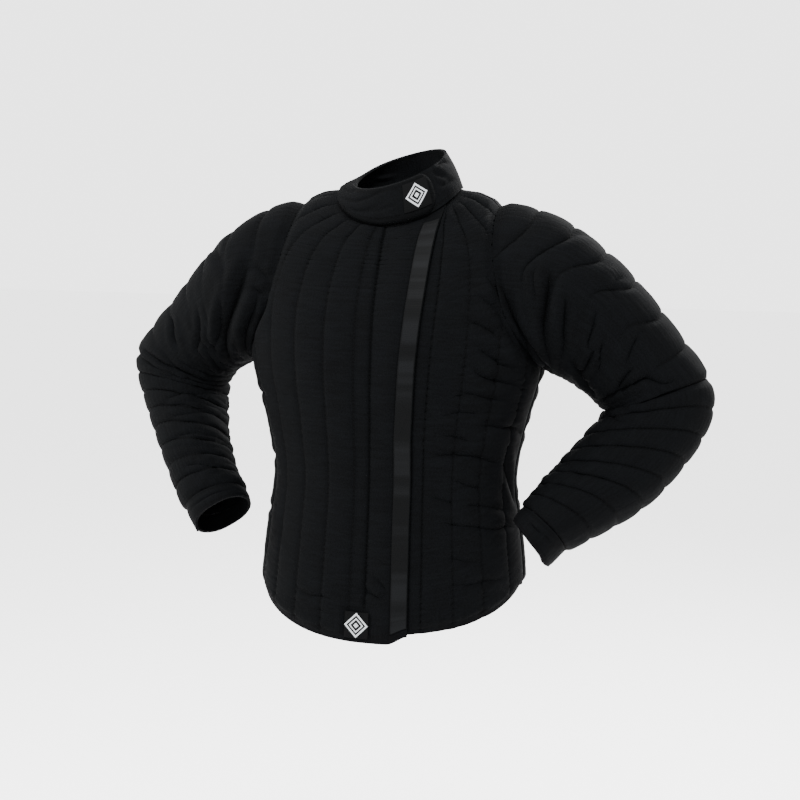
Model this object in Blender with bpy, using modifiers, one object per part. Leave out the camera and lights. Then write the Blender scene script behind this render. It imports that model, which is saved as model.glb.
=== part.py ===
"""Quilted fencing jacket, filled out with no wearer in it, hands-on-hips sleeves. Metres, +Z up.

The wearer faces -Y and the wearer's left is +X. The origin is the middle of the neck at the level
of the neck points of the shoulders. Every piece is one wall of cloth: an open sheet laid on the
garment's form, then given its thickness outward, thin on the quilting lines and thick between.
"""

import math

import bmesh
import bpy
import mathutils
import numpy as np

SEAM_GAP = 0.0003
STITCH_WALL = 0.0022
CROWN_WALL = 0.0085
PLAIN_WALL = 0.0026

# Rings of the torso, hem to neck. Columns: z at centre front, z at the side, z at centre back,
# half width, depth in front of the axis, depth behind it, squareness of the section.
TORSO_RINGS = (
    (-0.617, -0.548, -0.592, 0.183, 0.134, 0.114, 2.20),
    (-0.556, -0.502, -0.540, 0.179, 0.130, 0.111, 2.20),
    (-0.480, -0.450, -0.470, 0.172, 0.124, 0.104, 2.20),
    (-0.400, -0.392, -0.400, 0.166, 0.119, 0.101, 2.20),
    (-0.320, -0.318, -0.320, 0.181, 0.122, 0.113, 2.25),
    (-0.245, -0.246, -0.243, 0.200, 0.124, 0.126, 2.30),
    (-0.175, -0.160, -0.160, 0.205, 0.117, 0.132, 2.35),
    (-0.118, -0.086, -0.090, 0.196, 0.098, 0.121, 2.35),
    (-0.084, -0.045, -0.048, 0.170, 0.082, 0.103, 2.30),
    (-0.067, -0.021, -0.018, 0.126, 0.072, 0.083, 2.15),
    (-0.056, -0.005, 0.002, 0.085, 0.064, 0.068, 2.00),
)
HEM_V = 0.0
NECK_V = 1.0

# Armhole outline seen from the front. Columns: x, z. It is drawn out along Y as the cut.
ARMHOLE = (
    (0.1400, 0.080),
    (0.1405, 0.000),
    (0.1450, -0.060),
    (0.1550, -0.120),
    (0.1690, -0.170),
    (0.1890, -0.206),
    (0.2020, -0.230),
    (0.2120, -0.252),
    (0.2170, -0.290),
    (0.2180, -0.380),
    (0.2180, -0.800),
)

# Quilting. Lines of the right front by q (0 centre, -1 side), of the left front by the share of
# the way from the lap edge to the side, and the number of channels in the whole back.
RIGHT_LINES = (-1.0, -0.915, -0.75, -0.585, -0.42, -0.25, -0.085, 0.0)
LEFT_LINES = (0.0, 0.09, 0.31, 0.53, 0.77, 1.0)
BACK_CHANNELS = 10
TORSO_ROWS = 19

# Closure. Columns: z, x of the lap edge of the right front.
LAP_EDGE = (
    (-0.630, 0.0600),
    (-0.450, 0.0570),
    (-0.340, 0.0570),
    (-0.240, 0.0620),
    (-0.150, 0.0690),
    (-0.050, 0.0740),
    (0.010, 0.0760),
)
UNDERLAP = 0.040
LAP_LIFT = 0.0034
LAP_WALL = 0.0040
TAPE_WIDTH = 0.0225
TAPE_WALL = 0.0016
TAPE_ENDS = (0.022, 0.935)
LEFT_HEM_RISE = 0.020
LAP_CORNER_RISE = 0.016

# Hem patch: q low, q high, v low, v high. Collar patch and throat tab: angles from the front.
HEM_PATCH = (-0.105, 0.030, 0.010, 0.070)
COLLAR_PATCH = (19.0, 45.0)
COLLAR_PATCH_HEIGHT = (0.19, 0.84)
TAB_ANGLES = (-78.0, 51.0)
TAB_HEIGHT = (0.015, 0.96)
PATCH_WALL = 0.0014

# Arm rails of each sleeve on its outer and inner outline, shoulder to cuff.
# Columns: outer x, y, z, inner x, y, z, half width across the rails.
ARM_RAILS = {
    "left": (
        (0.203, -0.006, -0.031, 0.220, 0.004, -0.251, 0.082),
        (0.266, -0.002, -0.065, 0.234, 0.008, -0.258, 0.079),
        (0.316, 0.008, -0.107, 0.252, 0.012, -0.267, 0.075),
        (0.359, 0.020, -0.155, 0.269, 0.018, -0.281, 0.071),
        (0.398, 0.032, -0.206, 0.282, 0.024, -0.294, 0.068),
        (0.430, 0.040, -0.253, 0.291, 0.026, -0.304, 0.066),
        (0.437, 0.036, -0.299, 0.279, 0.018, -0.327, 0.064),
        (0.414, 0.018, -0.353, 0.252, 0.002, -0.360, 0.061),
        (0.369, -0.012, -0.410, 0.226, -0.018, -0.393, 0.057),
        (0.315, -0.044, -0.447, 0.206, -0.036, -0.419, 0.052),
        (0.262, -0.068, -0.481, 0.195, -0.050, -0.434, 0.047),
        (0.239, -0.080, -0.505, 0.186, -0.057, -0.450, 0.046),
    ),
    "right": (
        (0.205, -0.006, -0.044, 0.214, 0.004, -0.243, 0.082),
        (0.247, -0.002, -0.070, 0.224, 0.008, -0.252, 0.079),
        (0.288, 0.008, -0.107, 0.236, 0.012, -0.260, 0.074),
        (0.332, 0.020, -0.154, 0.250, 0.018, -0.268, 0.070),
        (0.378, 0.032, -0.200, 0.265, 0.024, -0.278, 0.067),
        (0.411, 0.040, -0.247, 0.274, 0.026, -0.293, 0.065),
        (0.408, 0.036, -0.292, 0.273, 0.018, -0.312, 0.062),
        (0.387, 0.018, -0.338, 0.265, 0.002, -0.342, 0.057),
        (0.356, -0.012, -0.384, 0.250, -0.018, -0.374, 0.052),
        (0.322, -0.044, -0.432, 0.231, -0.036, -0.406, 0.048),
        (0.290, -0.068, -0.470, 0.209, -0.050, -0.430, 0.047),
        (0.271, -0.080, -0.493, 0.199, -0.057, -0.444, 0.046),
    ),
}
RAIL_INSET = 0.0055
CAP_END = 1
ELBOW_AT = 5
CUFF_AT = 10
ARM_POINTS = 20
# Metres for one step of q, of v, of a place along a sleeve and of a radian round it.
ROUND = 0.27
UP = 0.56
ALONG_ARM = 0.052
ROUND_ARM = 0.070
UPPER_CHANNELS = 7
LOWER_CHANNELS = 8

# Largest folds of each sleeve. Columns: place along and angle, in degrees from the outer rail to
# the front, of one end and of the other, half width, depth.
ARM_FOLDS = {
    "left": (
        (-0.90, 104, 0.35, 155, 0.015, 0.0080),
        (0.40, 62, 0.37, 134, 0.014, 0.0090),
        (1.75, 76, 1.95, 140, 0.013, 0.0060),
        (3.50, 152, 4.10, 76, 0.013, 0.0085),
        (-0.70, 262, 0.40, 212, 0.015, 0.0075),
        (3.60, 208, 4.40, 282, 0.013, 0.0070),
    ),
    "right": (
        (-0.10, 72, 1.90, 152, 0.018, 0.0105),
        (-0.60, 104, 0.50, 172, 0.014, 0.0080),
        (4.35, 50, 4.10, 132, 0.012, 0.0055),
        (2.60, 120, 3.30, 150, 0.013, 0.0060),
        (-0.60, 262, 0.60, 205, 0.015, 0.0080),
        (3.50, 203, 4.45, 285, 0.013, 0.0070),
    ),
}
# Largest folds of the torso. Columns: q and v of one end and of the other, half width, depth.
TORSO_FOLDS = (
    (0.590, 0.670, 0.860, 0.525, 0.013, 0.0045),
    (0.600, 0.401, 0.960, 0.377, 0.010, 0.0030),
    (-0.640, 0.610, -0.900, 0.520, 0.013, 0.0040),
    (1.040, 0.510, 1.380, 0.560, 0.013, 0.0045),
    (2.960, 0.510, 2.620, 0.560, 0.013, 0.0045),
    (1.050, 0.380, 1.420, 0.365, 0.012, 0.0035),
    (2.940, 0.360, 2.500, 0.345, 0.012, 0.0035),
)

COLLAR_WALL = 0.0040
COLLAR_ROWS = 5
# Top edge of the collar: half width, front y, back y, z of the middle, rise to back, rise to left.
COLLAR_TOP = (0.0600, -0.0600, 0.0620, 0.0240, 0.0250, 0.0165)


def clear_scene():
    for obj in list(bpy.data.objects):
        bpy.data.objects.remove(obj, do_unlink=True)


def smooth(x, low, high):
    """0 below low, 1 above high, an even slope between."""
    t = np.clip((np.asarray(x, float) - low) / (high - low), 0, 1)
    return t * t * (3 - 2 * t)


def spline(table, at):
    """Rows of a table read at any place along it, 0 to len - 1, through every row (cubic)."""
    table = np.asarray(table, float)
    last = len(table) - 1
    at = np.clip(np.asarray(at, float), 0, last)
    i = np.minimum(at.astype(int), last - 1)
    t = (at - i)[..., None]
    p1 = table[i]
    p2 = table[i + 1]
    p0 = np.where((i > 0)[..., None], table[np.maximum(i - 1, 0)], 2 * p1 - p2)
    p3 = np.where((i < last - 1)[..., None], table[np.minimum(i + 2, last)], 2 * p2 - p1)
    m1 = (p2 - p0) / 2
    m2 = (p3 - p1) / 2
    a = 2 * t**3 - 3 * t**2 + 1
    b = t**3 - 2 * t**2 + t
    c = -2 * t**3 + 3 * t**2
    d = t**3 - t**2
    return a * p1 + b * m1 + c * p2 + d * m2


def unit(v):
    return v / np.maximum(np.linalg.norm(v, axis=-1, keepdims=True), 1e-12)


def quarter_ring(row, back):
    """Points of a quarter section evenly spaced, centre to side, as fractions to read from."""
    zf, zs, zb, half, front, rear, square = row
    a = np.linspace(0, math.pi / 2, 97)
    depth = rear if back else front
    centre_z = zb if back else zf
    x = half * np.sin(a) ** (2 / square)
    y = (1 if back else -1) * depth * np.cos(a) ** (2 / square)
    level = np.cos(a) ** 1.15
    z = zs + (centre_z - zs) * level
    points = np.stack([x, y, z], -1)
    run = np.concatenate([[0], np.cumsum(np.linalg.norm(np.diff(points[:, :2], axis=0), axis=1))])
    return points, run / run[-1]


FORM_ROWS = 161
FORM_COLUMNS = 101


def torso_table():
    """The torso form as a table of points: rows hem to neck, columns front, side, back."""
    v = np.linspace(0, len(TORSO_RINGS) - 1, FORM_ROWS)
    rows = spline(TORSO_RINGS, v)
    s = np.linspace(0, 1, FORM_COLUMNS)
    table = np.zeros((FORM_ROWS, 2 * FORM_COLUMNS - 1, 3))
    for k, row in enumerate(rows):
        for back in (False, True):
            points, run = quarter_ring(row, back)
            read = np.stack([np.interp(s, run, points[:, j]) for j in range(3)], -1)
            if back:
                table[k, FORM_COLUMNS - 1 :] = read[::-1]
            else:
                table[k, :FORM_COLUMNS] = read
    return table


TABLE = torso_table()


def torso(q, v):
    """A point of the torso form. q: 0 centre front, 1 side, 2 centre back, minus on the
    wearer's right. v: 0 hem, 1 neck."""
    q = np.asarray(q, float)
    v = np.asarray(v, float)
    q, v = np.broadcast_arrays(q, v)
    side = np.where(q < 0, -1.0, 1.0)
    a = np.clip(np.abs(q), 0, 2) * (FORM_COLUMNS - 1)
    b = np.clip(v, 0, 1) * (FORM_ROWS - 1)
    i = np.minimum(a.astype(int), 2 * FORM_COLUMNS - 3)
    j = np.minimum(b.astype(int), FORM_ROWS - 2)
    s = (a - i)[..., None]
    t = (b - j)[..., None]
    low = TABLE[j, i] * (1 - s) + TABLE[j, i + 1] * s
    high = TABLE[j + 1, i] * (1 - s) + TABLE[j + 1, i + 1] * s
    out = low * (1 - t) + high * t
    out[..., 0] *= side
    return out


def torso_normal(q, v):
    e = 0.004
    du = torso(q + e, v) - torso(q - e, v)
    dv = torso(q, np.clip(v + e, 0, 1)) - torso(q, np.clip(v - e, 0, 1))
    return unit(np.cross(du, dv))


def q_at_x(x, v):
    """The q in front at which the form has this x, for each v."""
    v = np.atleast_1d(np.asarray(v, float))
    s = np.linspace(0, 1, 161)
    found = []
    for one in v:
        xs = torso(s, one)[..., 0]
        found.append(np.interp(abs(x), xs, s) * (1 if x >= 0 else -1))
    return np.array(found)


def armhole_x(z):
    """x of the armhole cut at a height."""
    curve = spline(ARMHOLE, np.linspace(0, len(ARMHOLE) - 1, 241))
    return np.interp(-np.asarray(z, float), -curve[:, 1], curve[:, 0])


def armhole_curve(back, count):
    """Points on the form where the armhole cuts it, from the top to the armpit."""
    found = []
    for v in np.linspace(1, 0, 900):
        s = np.linspace(1, 2, 240) if back else np.linspace(1, 0, 240)
        p = torso(s, v)
        gap = p[:, 0] - armhole_x(p[:, 2])
        if gap[0] <= 0:
            if found:
                found.append(p[0])
                break
            top = p[0]
            continue
        if not found:
            found.append(top)
        k = np.argmax(gap <= 0)
        t = gap[k - 1] / (gap[k - 1] - gap[k])
        found.append(p[k - 1] * (1 - t) + p[k] * t)
    found = np.array(found)
    run = np.concatenate([[0], np.cumsum(np.linalg.norm(np.diff(found, axis=0), axis=1))])
    at = np.linspace(0, run[-1], count)
    return np.stack([np.interp(at, run, found[:, j]) for j in range(3)], -1)


def armhole_loop(count):
    """The whole armhole, count points: top, down the front, armpit, up the back."""
    half = count // 2
    front = armhole_curve(False, half + 1)
    back = armhole_curve(True, half + 1)
    return np.concatenate([front[:-1], back[::-1][:-1]])


def arm_ring(arm, at, count):
    """Ring of the sleeve on its rails. Starts on the outer rail and turns to the front."""
    rails = ARM_RAILS[arm]
    row = spline(rails, np.atleast_1d(at))[0]
    ahead = spline(rails, np.atleast_1d(min(at + 0.05, len(rails) - 1)))[0]
    before = spline(rails, np.atleast_1d(max(at - 0.05, 0)))[0]
    across = (row[:3] - row[3:6]) / 2
    across = across - unit(across) * RAIL_INSET
    middle = (row[:3] + row[3:6]) / 2
    along = (ahead[:3] + ahead[3:6] - before[:3] - before[3:6]) / 2
    side = unit(np.cross(across, along))
    if side[1] > 0:
        side = -side
    a = np.arange(count) * 2 * math.pi / count
    c = np.cos(a)
    s = np.sin(a)
    power = 2 / 2.15
    ca = np.sign(c) * np.abs(c) ** power
    sa = np.sign(s) * np.abs(s) ** power
    return middle + ca[:, None] * across + sa[:, None] * side * (row[6] - RAIL_INSET)


def arm_surface(arm, at, count, loop):
    """The sleeve's ring at a place along it: -1 is the armhole, CAP_END on is the rails."""
    if at >= CAP_END:
        return arm_ring(arm, at, count)
    t = (at + 1) / (CAP_END + 1)
    end = arm_ring(arm, CAP_END, count)
    after = arm_ring(arm, CAP_END + 0.25, count)
    a = np.arange(count) * 2 * math.pi / count
    top = ((1 + np.cos(a)) / 2)[:, None]
    leave = unit(np.array([0.77, 0.03, -0.64]) + top * np.array([0.95, 0, 0.62]))
    reach = np.linalg.norm(end - loop, axis=1, keepdims=True)
    arrive = unit(after - end)
    h = (2 * t**3 - 3 * t**2 + 1, t**3 - 2 * t**2 + t, -2 * t**3 + 3 * t**2, t**3 - t**2)
    if t < 0:
        return loop + leave * reach * t
    return h[0] * loop + h[1] * leave * reach * 1.1 + h[2] * end + h[3] * arrive * reach * 1.1


def arm_rows(arm, low, high, channels, per, loop):
    """Places along the sleeve evenly spaced on its outer side, and the channel phase there."""
    at = np.linspace(low, high, 241)
    outer = np.array([arm_surface(arm, one, ARM_POINTS, loop)[0] for one in at])
    run = np.concatenate([[0], np.cumsum(np.linalg.norm(np.diff(outer, axis=0), axis=1))])
    share = np.linspace(0, 1, channels * per + 1)
    return np.interp(share * run[-1], run, at), share * channels


def inner_fade(at):
    """The quilting is pressed flatter on the inner side of the arm, and flat inside the elbow."""
    outward = (1 + np.cos(np.arange(ARM_POINTS) * 2 * math.pi / ARM_POINTS)) / 2
    inner = 1 - smooth(outward, 0.10, 0.62)
    bend = 1 - smooth(np.abs(np.asarray(at) - ELBOW_AT), 0.3, 1.8)
    return 1 - inner[None] * (0.5 + 0.5 * bend[:, None])


def folds(across, along, table):
    """Depth of the folds at places on the cloth in metres: soft troughs that die away at both
    ends."""
    depth = np.zeros(across.shape)
    for a0, b0, a1, b1, width, deep in table:
        da = a1 - a0
        db = b1 - b0
        length = math.hypot(da, db)
        t = ((across - a0) * da + (along - b0) * db) / length**2
        off = ((along - b0) * da - (across - a0) * db) / length
        ends = smooth(t, -0.18, 0.32) * (1 - smooth(t, 0.6, 1.2))
        depth += deep * ends * np.exp(-((off / width) ** 2))
    return depth


def fold_arm(arm, at, points):
    """Rings of a sleeve with its largest folds pressed in towards its middle line."""
    angle = np.arange(points.shape[1]) * 2 * math.pi / points.shape[1]
    table = []
    for a0, g0, a1, g1, width, deep in ARM_FOLDS[arm]:
        low = math.radians(g0) * ROUND_ARM
        high = math.radians(g1) * ROUND_ARM
        table.append((a0 * ALONG_ARM, low, a1 * ALONG_ARM, high, width, deep))
    at = np.asarray(at)[:, None]
    across, along = np.broadcast_arrays(at * ALONG_ARM, angle[None] * ROUND_ARM)
    depth = folds(across, along, table) * smooth(at, -0.95, -0.55)
    depth = depth * smooth(np.abs(at - ELBOW_AT), 0.15, 0.60)
    inward = unit(points.mean(1, keepdims=True) - points)
    return points + inward * depth[..., None]


def fold_torso(q, v, points):
    """Points of a torso panel with its largest folds pressed in. q runs on past 2 round the back."""
    table = []
    for a0, b0, a1, b1, width, deep in TORSO_FOLDS:
        table.append((a0 * ROUND, b0 * UP, a1 * ROUND, b1 * UP, width, deep))
    across, along = np.broadcast_arrays(q * ROUND, v * UP)
    depth = folds(across, along, table)
    near = np.where(q > 2, q - 4, q) * np.ones(across.shape)
    clear = armhole_x(points[..., 2]) - np.abs(points[..., 0])
    depth = depth * smooth(clear, 0.0, 0.02) * smooth(1 - v, 0, 0.1)
    side = smooth(np.abs(np.abs(near) - 1), 0.01, 0.06)
    return points - torso_normal(near, v * np.ones(across.shape)) * (depth * side)[..., None]


def add_collection(name, hidden=False):
    made = bpy.data.collections.new(name)
    bpy.context.scene.collection.children.link(made)
    made.hide_render = hidden
    return made


def material(name, colour, rough):
    made = bpy.data.materials.new(name)
    made.use_nodes = True
    shader = made.node_tree.nodes["Principled BSDF"]
    shader.inputs["Base Color"].default_value = (*colour, 1)
    shader.inputs["Roughness"].default_value = rough
    made.diffuse_color = (*colour, 1)
    return made


def sheet(name, points, weight, wall, thin, collection, skin, closed=False, flip=False):
    """An open sheet of rows by columns of points, made a wall of cloth outward.

    weight is 0 where the wall is thin and 1 where it is full. closed joins the last column to the
    first. flip turns the outward side round."""
    rows, columns = points.shape[:2]
    work = bmesh.new()
    verts = [[work.verts.new(points[r, c]) for c in range(columns)] for r in range(rows)]
    for r in range(rows - 1):
        for c in range(columns if closed else columns - 1):
            d = (c + 1) % columns
            loop = [verts[r][c], verts[r][d], verts[r + 1][d], verts[r + 1][c]]
            work.faces.new(loop[::-1] if flip else loop)
    mesh = bpy.data.meshes.new(name)
    work.to_mesh(mesh)
    work.free()
    obj = bpy.data.objects.new(name, mesh)
    collection.objects.link(obj)
    mesh.materials.append(skin)
    group = obj.vertex_groups.new(name="full")
    flat = np.clip(np.asarray(weight, float), 0, 1).reshape(-1)
    for k, w in enumerate(flat):
        group.add([k], float(w), "REPLACE")
    solid = obj.modifiers.new("Wall", "SOLIDIFY")
    solid.thickness = wall
    solid.offset = 1
    solid.vertex_group = "full"
    solid.thickness_vertex_group = thin / wall
    solid.use_even_offset = False
    return obj


def prism(name, outline, y_low, y_high, collection):
    """A closed outline in x and z drawn out along Y, for cutting."""
    work = bmesh.new()
    face = work.faces.new([work.verts.new((x, y_low, z)) for x, z in outline])
    grown = bmesh.ops.extrude_face_region(work, geom=[face])
    moved = [item for item in grown["geom"] if isinstance(item, bmesh.types.BMVert)]
    bmesh.ops.translate(work, verts=moved, vec=(0, y_high - y_low, 0))
    bmesh.ops.recalc_face_normals(work, faces=work.faces)
    mesh = bpy.data.meshes.new(name)
    work.to_mesh(mesh)
    work.free()
    obj = bpy.data.objects.new(name, mesh)
    collection.objects.link(obj)
    obj.hide_render = True
    obj.display_type = "WIRE"
    return obj


def cut(obj, cutter):
    made = obj.modifiers.new("Cut " + cutter.name, "BOOLEAN")
    made.operation = "DIFFERENCE"
    made.solver = "EXACT"
    made.object = cutter


def armhole_outline(side, outward, away):
    """The armhole cut as a closed outline: the arm's side of it, or the body's side."""
    curve = spline(ARMHOLE, np.linspace(0, len(ARMHOLE) - 1, 41))
    along = np.gradient(curve, axis=0)
    normal = unit(np.stack([-along[:, 1], along[:, 0]], -1))
    curve = curve + normal * away
    if outward:
        outline = [*curve, (0.80, curve[-1][1]), (0.80, curve[0][1])]
    else:
        outline = [*curve, (-0.05, curve[-1][1]), (-0.05, curve[0][1])]
    return [(side * x, z) for x, z in outline]


def crown(phase):
    """Height of the quilting across a channel, 0 on the lines and 1 in the middle."""
    part = np.abs(phase - np.round(phase)) * 2
    return np.sqrt(np.clip(1 - (1 - part) ** 2, 0, 1))


def edge_fade(values, low, high, width):
    """0 on both edges of a run of values, 1 further in than width."""
    inside = np.minimum(values - low, high - values)
    return smooth(inside, 0, width)


def torso_rows():
    v = np.linspace(0, 1, TORSO_ROWS)
    return np.unique(np.concatenate([v, [0.008, 0.972, 0.992]]))


def lap_q(rows):
    """q of the lap edge at each row."""
    edge = np.array(LAP_EDGE)
    found = []
    s = np.linspace(0, 1, 161)
    for one in rows:
        p = torso(s, one)
        gap = p[:, 0] - np.interp(p[:, 2], edge[:, 0], edge[:, 1])
        found.append(np.interp(0, gap, s))
    return np.array(found)


def columns(lines, per):
    """Places between lines, per steps to each channel, and the height of the quilting there."""
    at = [lines[0]]
    full = [0.0]
    for k in range(len(lines) - 1):
        low = lines[k]
        high = lines[k + 1]
        wide = min(1.0, (high - low) / 0.14)
        for step in range(1, per[k] + 1):
            t = step / per[k]
            at.append(low + (high - low) * t)
            full.append(math.sqrt(max(0.0, 1 - (1 - 2 * min(t, 1 - t)) ** 2)) * wide)
    return np.array(at), np.array(full)


def fade(points, rows):
    """The quilting dies away at the hem, the neck and the armhole."""
    ends = smooth(rows, 0, 0.03) * smooth(1 - rows, 0.004, 0.075)
    clear = armhole_x(points[..., 2]) - np.abs(points[..., 0])
    return ends[:, None] * (0.1 + 0.9 * smooth(clear, 0, 0.014))


def shade(base):
    return tuple(channel * base for channel in (0.95, 1.0, 1.12))


def build():
    body = add_collection("fencing_jacket")
    helpers = add_collection("cutters", hidden=True)
    cloth = {
        "front": material("right front cloth", shade(0.0185), 0.86),
        "under": material("left front cloth", shade(0.0185), 0.86),
        "back": material("back cloth", shade(0.0180), 0.86),
        "upper": material("upper sleeve cloth", shade(0.0190), 0.86),
        "lower": material("lower sleeve cloth", shade(0.0190), 0.86),
        "cuff": material("cuff cloth", shade(0.0175), 0.86),
        "collar": material("collar cloth", shade(0.0170), 0.86),
        "tab": material("throat tab cloth", shade(0.0180), 0.84),
        "tape": material("closure tape", shade(0.0520), 0.50),
        "patch": material("patch cloth", shade(0.0160), 0.78),
    }
    arm_cutters = {}
    body_cutters = {}
    for name, side in (("left", 1), ("right", -1)):
        outline = armhole_outline(side, True, 0.0)
        arm_cutters[name] = prism("arm_side_" + name, outline, -0.4, 0.4, helpers)
        outline = armhole_outline(side, False, SEAM_GAP)
        body_cutters[name] = prism("body_side_" + name, outline, -0.4, 0.4, helpers)
    rows = torso_rows()
    neck, lap = torso_panels(rows, body, cloth, arm_cutters)
    sleeves(body, helpers, cloth, body_cutters)
    collar_pieces(neck, lap, body, cloth)


def torso_panels(rows, body, cloth, arm_cutters):
    seam = SEAM_GAP / 0.54
    lap = lap_q(rows)

    # Left front, the under panel: from its hidden edge to the left side seam. Its hem is higher.
    share, full = columns(LEFT_LINES, (2, 5, 5, 5, 5))
    share = np.insert(share, 0, [-0.2, -0.1])
    full = np.insert(full, 0, [0.0, 0.0])
    flat = q_at_x(0.045, rows) - 0.012
    q = np.where(share < 0, 0, share) * (1 - seam - lap)[:, None] + lap[:, None]
    q = np.where(share < 0, lap[:, None] + share * (lap - flat)[:, None] * 5, q)
    rise = LEFT_HEM_RISE * (1 - smooth(q, 0.25, 0.95)) * (1 - smooth(rows, 0, 0.16))[:, None]
    v = rows[:, None] + rise
    points = torso(q, v)
    w = full * fade(points, rows)
    points = fold_torso(q, v, points)
    neck = [q[-1][share > 0.02]]
    left = sheet("left_front", points, w, CROWN_WALL, STITCH_WALL, body, cloth["under"])
    cut(left, arm_cutters["left"])

    # Right front, the over panel: from the right side seam past the middle to the lap edge.
    share, full = columns(RIGHT_LINES, (2, 4, 4, 4, 4, 4, 2))
    share[0] = -1 + seam
    inner = lap - TAPE_WIDTH / 0.27
    q = np.repeat(share[None], len(rows), 0)
    more = np.stack([inner * 0.3, inner * 0.7, inner, (inner + lap) / 2, lap], -1)
    q = np.concatenate([q, more], 1)
    full = np.concatenate([full, [0.55, 0.55, 0.12, 0.12, 0.12]])
    corner = smooth(q, inner[:, None] - 0.02, lap[:, None]) * (1 - smooth(rows, 0, 0.09))[:, None]
    v = rows[:, None] + LAP_CORNER_RISE * corner
    points = torso(q, v)
    w = full * fade(points, rows)
    band = 0.25 * smooth(1 - rows, 0.004, 0.05)[:, None]
    w = np.where(q > inner[:, None] - 0.001, band, w)
    neck.append(q[-1])
    patch = box_mask(q, v, HEM_PATCH, 0.02)
    w = w * (1 - patch) + 0.25 * patch
    lift = LAP_LIFT * smooth(q, 0.0, np.maximum(flat - 0.03, 0.02)[:, None])
    points = fold_torso(q, v, points) + torso_normal(q, v) * lift[..., None]
    right = sheet("right_front", points, w, CROWN_WALL, STITCH_WALL, body, cloth["front"])
    cut(right, arm_cutters["right"])
    outer = outer_points(right, points.shape, w)
    tape(outer, q, rows, body, cloth)
    hem_patch(body, cloth)

    # Back, from the left side seam round to the right.
    lines = np.linspace(0, 1, BACK_CHANNELS + 1)
    share, full = columns(lines * 1.4, (3,) * BACK_CHANNELS)
    q = 1 + seam + share / 1.4 * (2 - 2 * seam)
    whole = q
    q = np.where(q > 2, q - 4, q)
    points = torso(np.broadcast_to(q, (len(rows), len(q))), rows[:, None])
    w = full * fade(points, rows)
    points = fold_torso(whole[None], rows[:, None], points)
    neck.append(q[1:-1])
    back = sheet("back", points, w, CROWN_WALL, STITCH_WALL, body, cloth["back"])
    cut(back, arm_cutters["left"])
    cut(back, arm_cutters["right"])
    return np.unique(np.round(np.concatenate(neck), 6)), lap[-1]


def box_mask(q, v, box, soft):
    """1 inside a box of q and v, 0 outside it."""
    across = smooth(q, box[0] - soft, box[0]) * (1 - smooth(q, box[1], box[1] + soft))
    up = smooth(v, box[2] - soft, box[2]) * (1 - smooth(v, box[3], box[3] + soft))
    return across * up


def outer_points(obj, shape, w):
    """Where a sheet's wall puts its outer face, for what lies on it."""
    mesh = obj.data
    normals = np.array([vertex.normal[:] for vertex in mesh.vertices]).reshape(shape)
    base = np.array([vertex.co[:] for vertex in mesh.vertices]).reshape(shape)
    depth = STITCH_WALL + w * (CROWN_WALL - STITCH_WALL)
    return base + normals * depth[..., None], normals


def tape(outer, q, rows, body, cloth):
    """The closure tape: the over panel's own points by the lap edge, moved out."""
    points, normals = outer
    keep = (rows >= TAPE_ENDS[0] - 0.001) & (rows <= TAPE_ENDS[1])
    strip = points[keep][:, -3:] + normals[keep][:, -3:] * 0.0004
    inward = unit(strip[:, :1] - strip[:, -1:])
    strip[:, -1] += inward[:, 0] * 0.0010
    sheet("closure_tape", strip, np.ones(strip.shape[:2]), TAPE_WALL, TAPE_WALL, body, cloth["tape"])


def hem_patch(body, cloth):
    low, high, bottom, top = HEM_PATCH
    q = np.linspace(low, high, 6)
    v = np.linspace(bottom, top, 6)
    q, v = np.meshgrid(q, v)
    lift = LAP_LIFT * smooth(q, 0.0, 0.10)
    depth = STITCH_WALL + 0.25 * (CROWN_WALL - STITCH_WALL) + 0.0019 + lift
    points = torso(q, v) + torso_normal(q, v) * depth[..., None]
    sheet("hem_patch", points, np.ones(q.shape), PATCH_WALL, PATCH_WALL, body, cloth["patch"])


def elbow_box(arm, side, way, collection):
    """A box from the elbow seam's plane on: way 1 lies on the forearm's side, -1 on the other."""
    ring = arm_ring(arm, ELBOW_AT, ARM_POINTS) * np.array([side, 1, 1])
    after = arm_ring(arm, ELBOW_AT + 1, ARM_POINTS) * np.array([side, 1, 1])
    middle = ring.mean(0)
    normal = unit(np.cross(ring[0] - middle, ring[ARM_POINTS // 4] - middle))
    if (after.mean(0) - middle) @ normal < 0:
        normal = -normal
    direction = mathutils.Vector(normal * way)
    work = bmesh.new()
    bmesh.ops.create_cube(work, size=0.3)
    start = middle + normal * way * (0.15 - SEAM_GAP / 2)
    turn = direction.to_track_quat("Z", "Y").to_matrix().to_4x4()
    bmesh.ops.transform(work, matrix=mathutils.Matrix.Translation(start) @ turn, verts=work.verts)
    mesh = bpy.data.meshes.new("elbow_cut")
    work.to_mesh(mesh)
    work.free()
    obj = bpy.data.objects.new(f"elbow_{arm}_{way + 1}", mesh)
    collection.objects.link(obj)
    obj.hide_render = True
    obj.display_type = "WIRE"
    return obj


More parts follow.
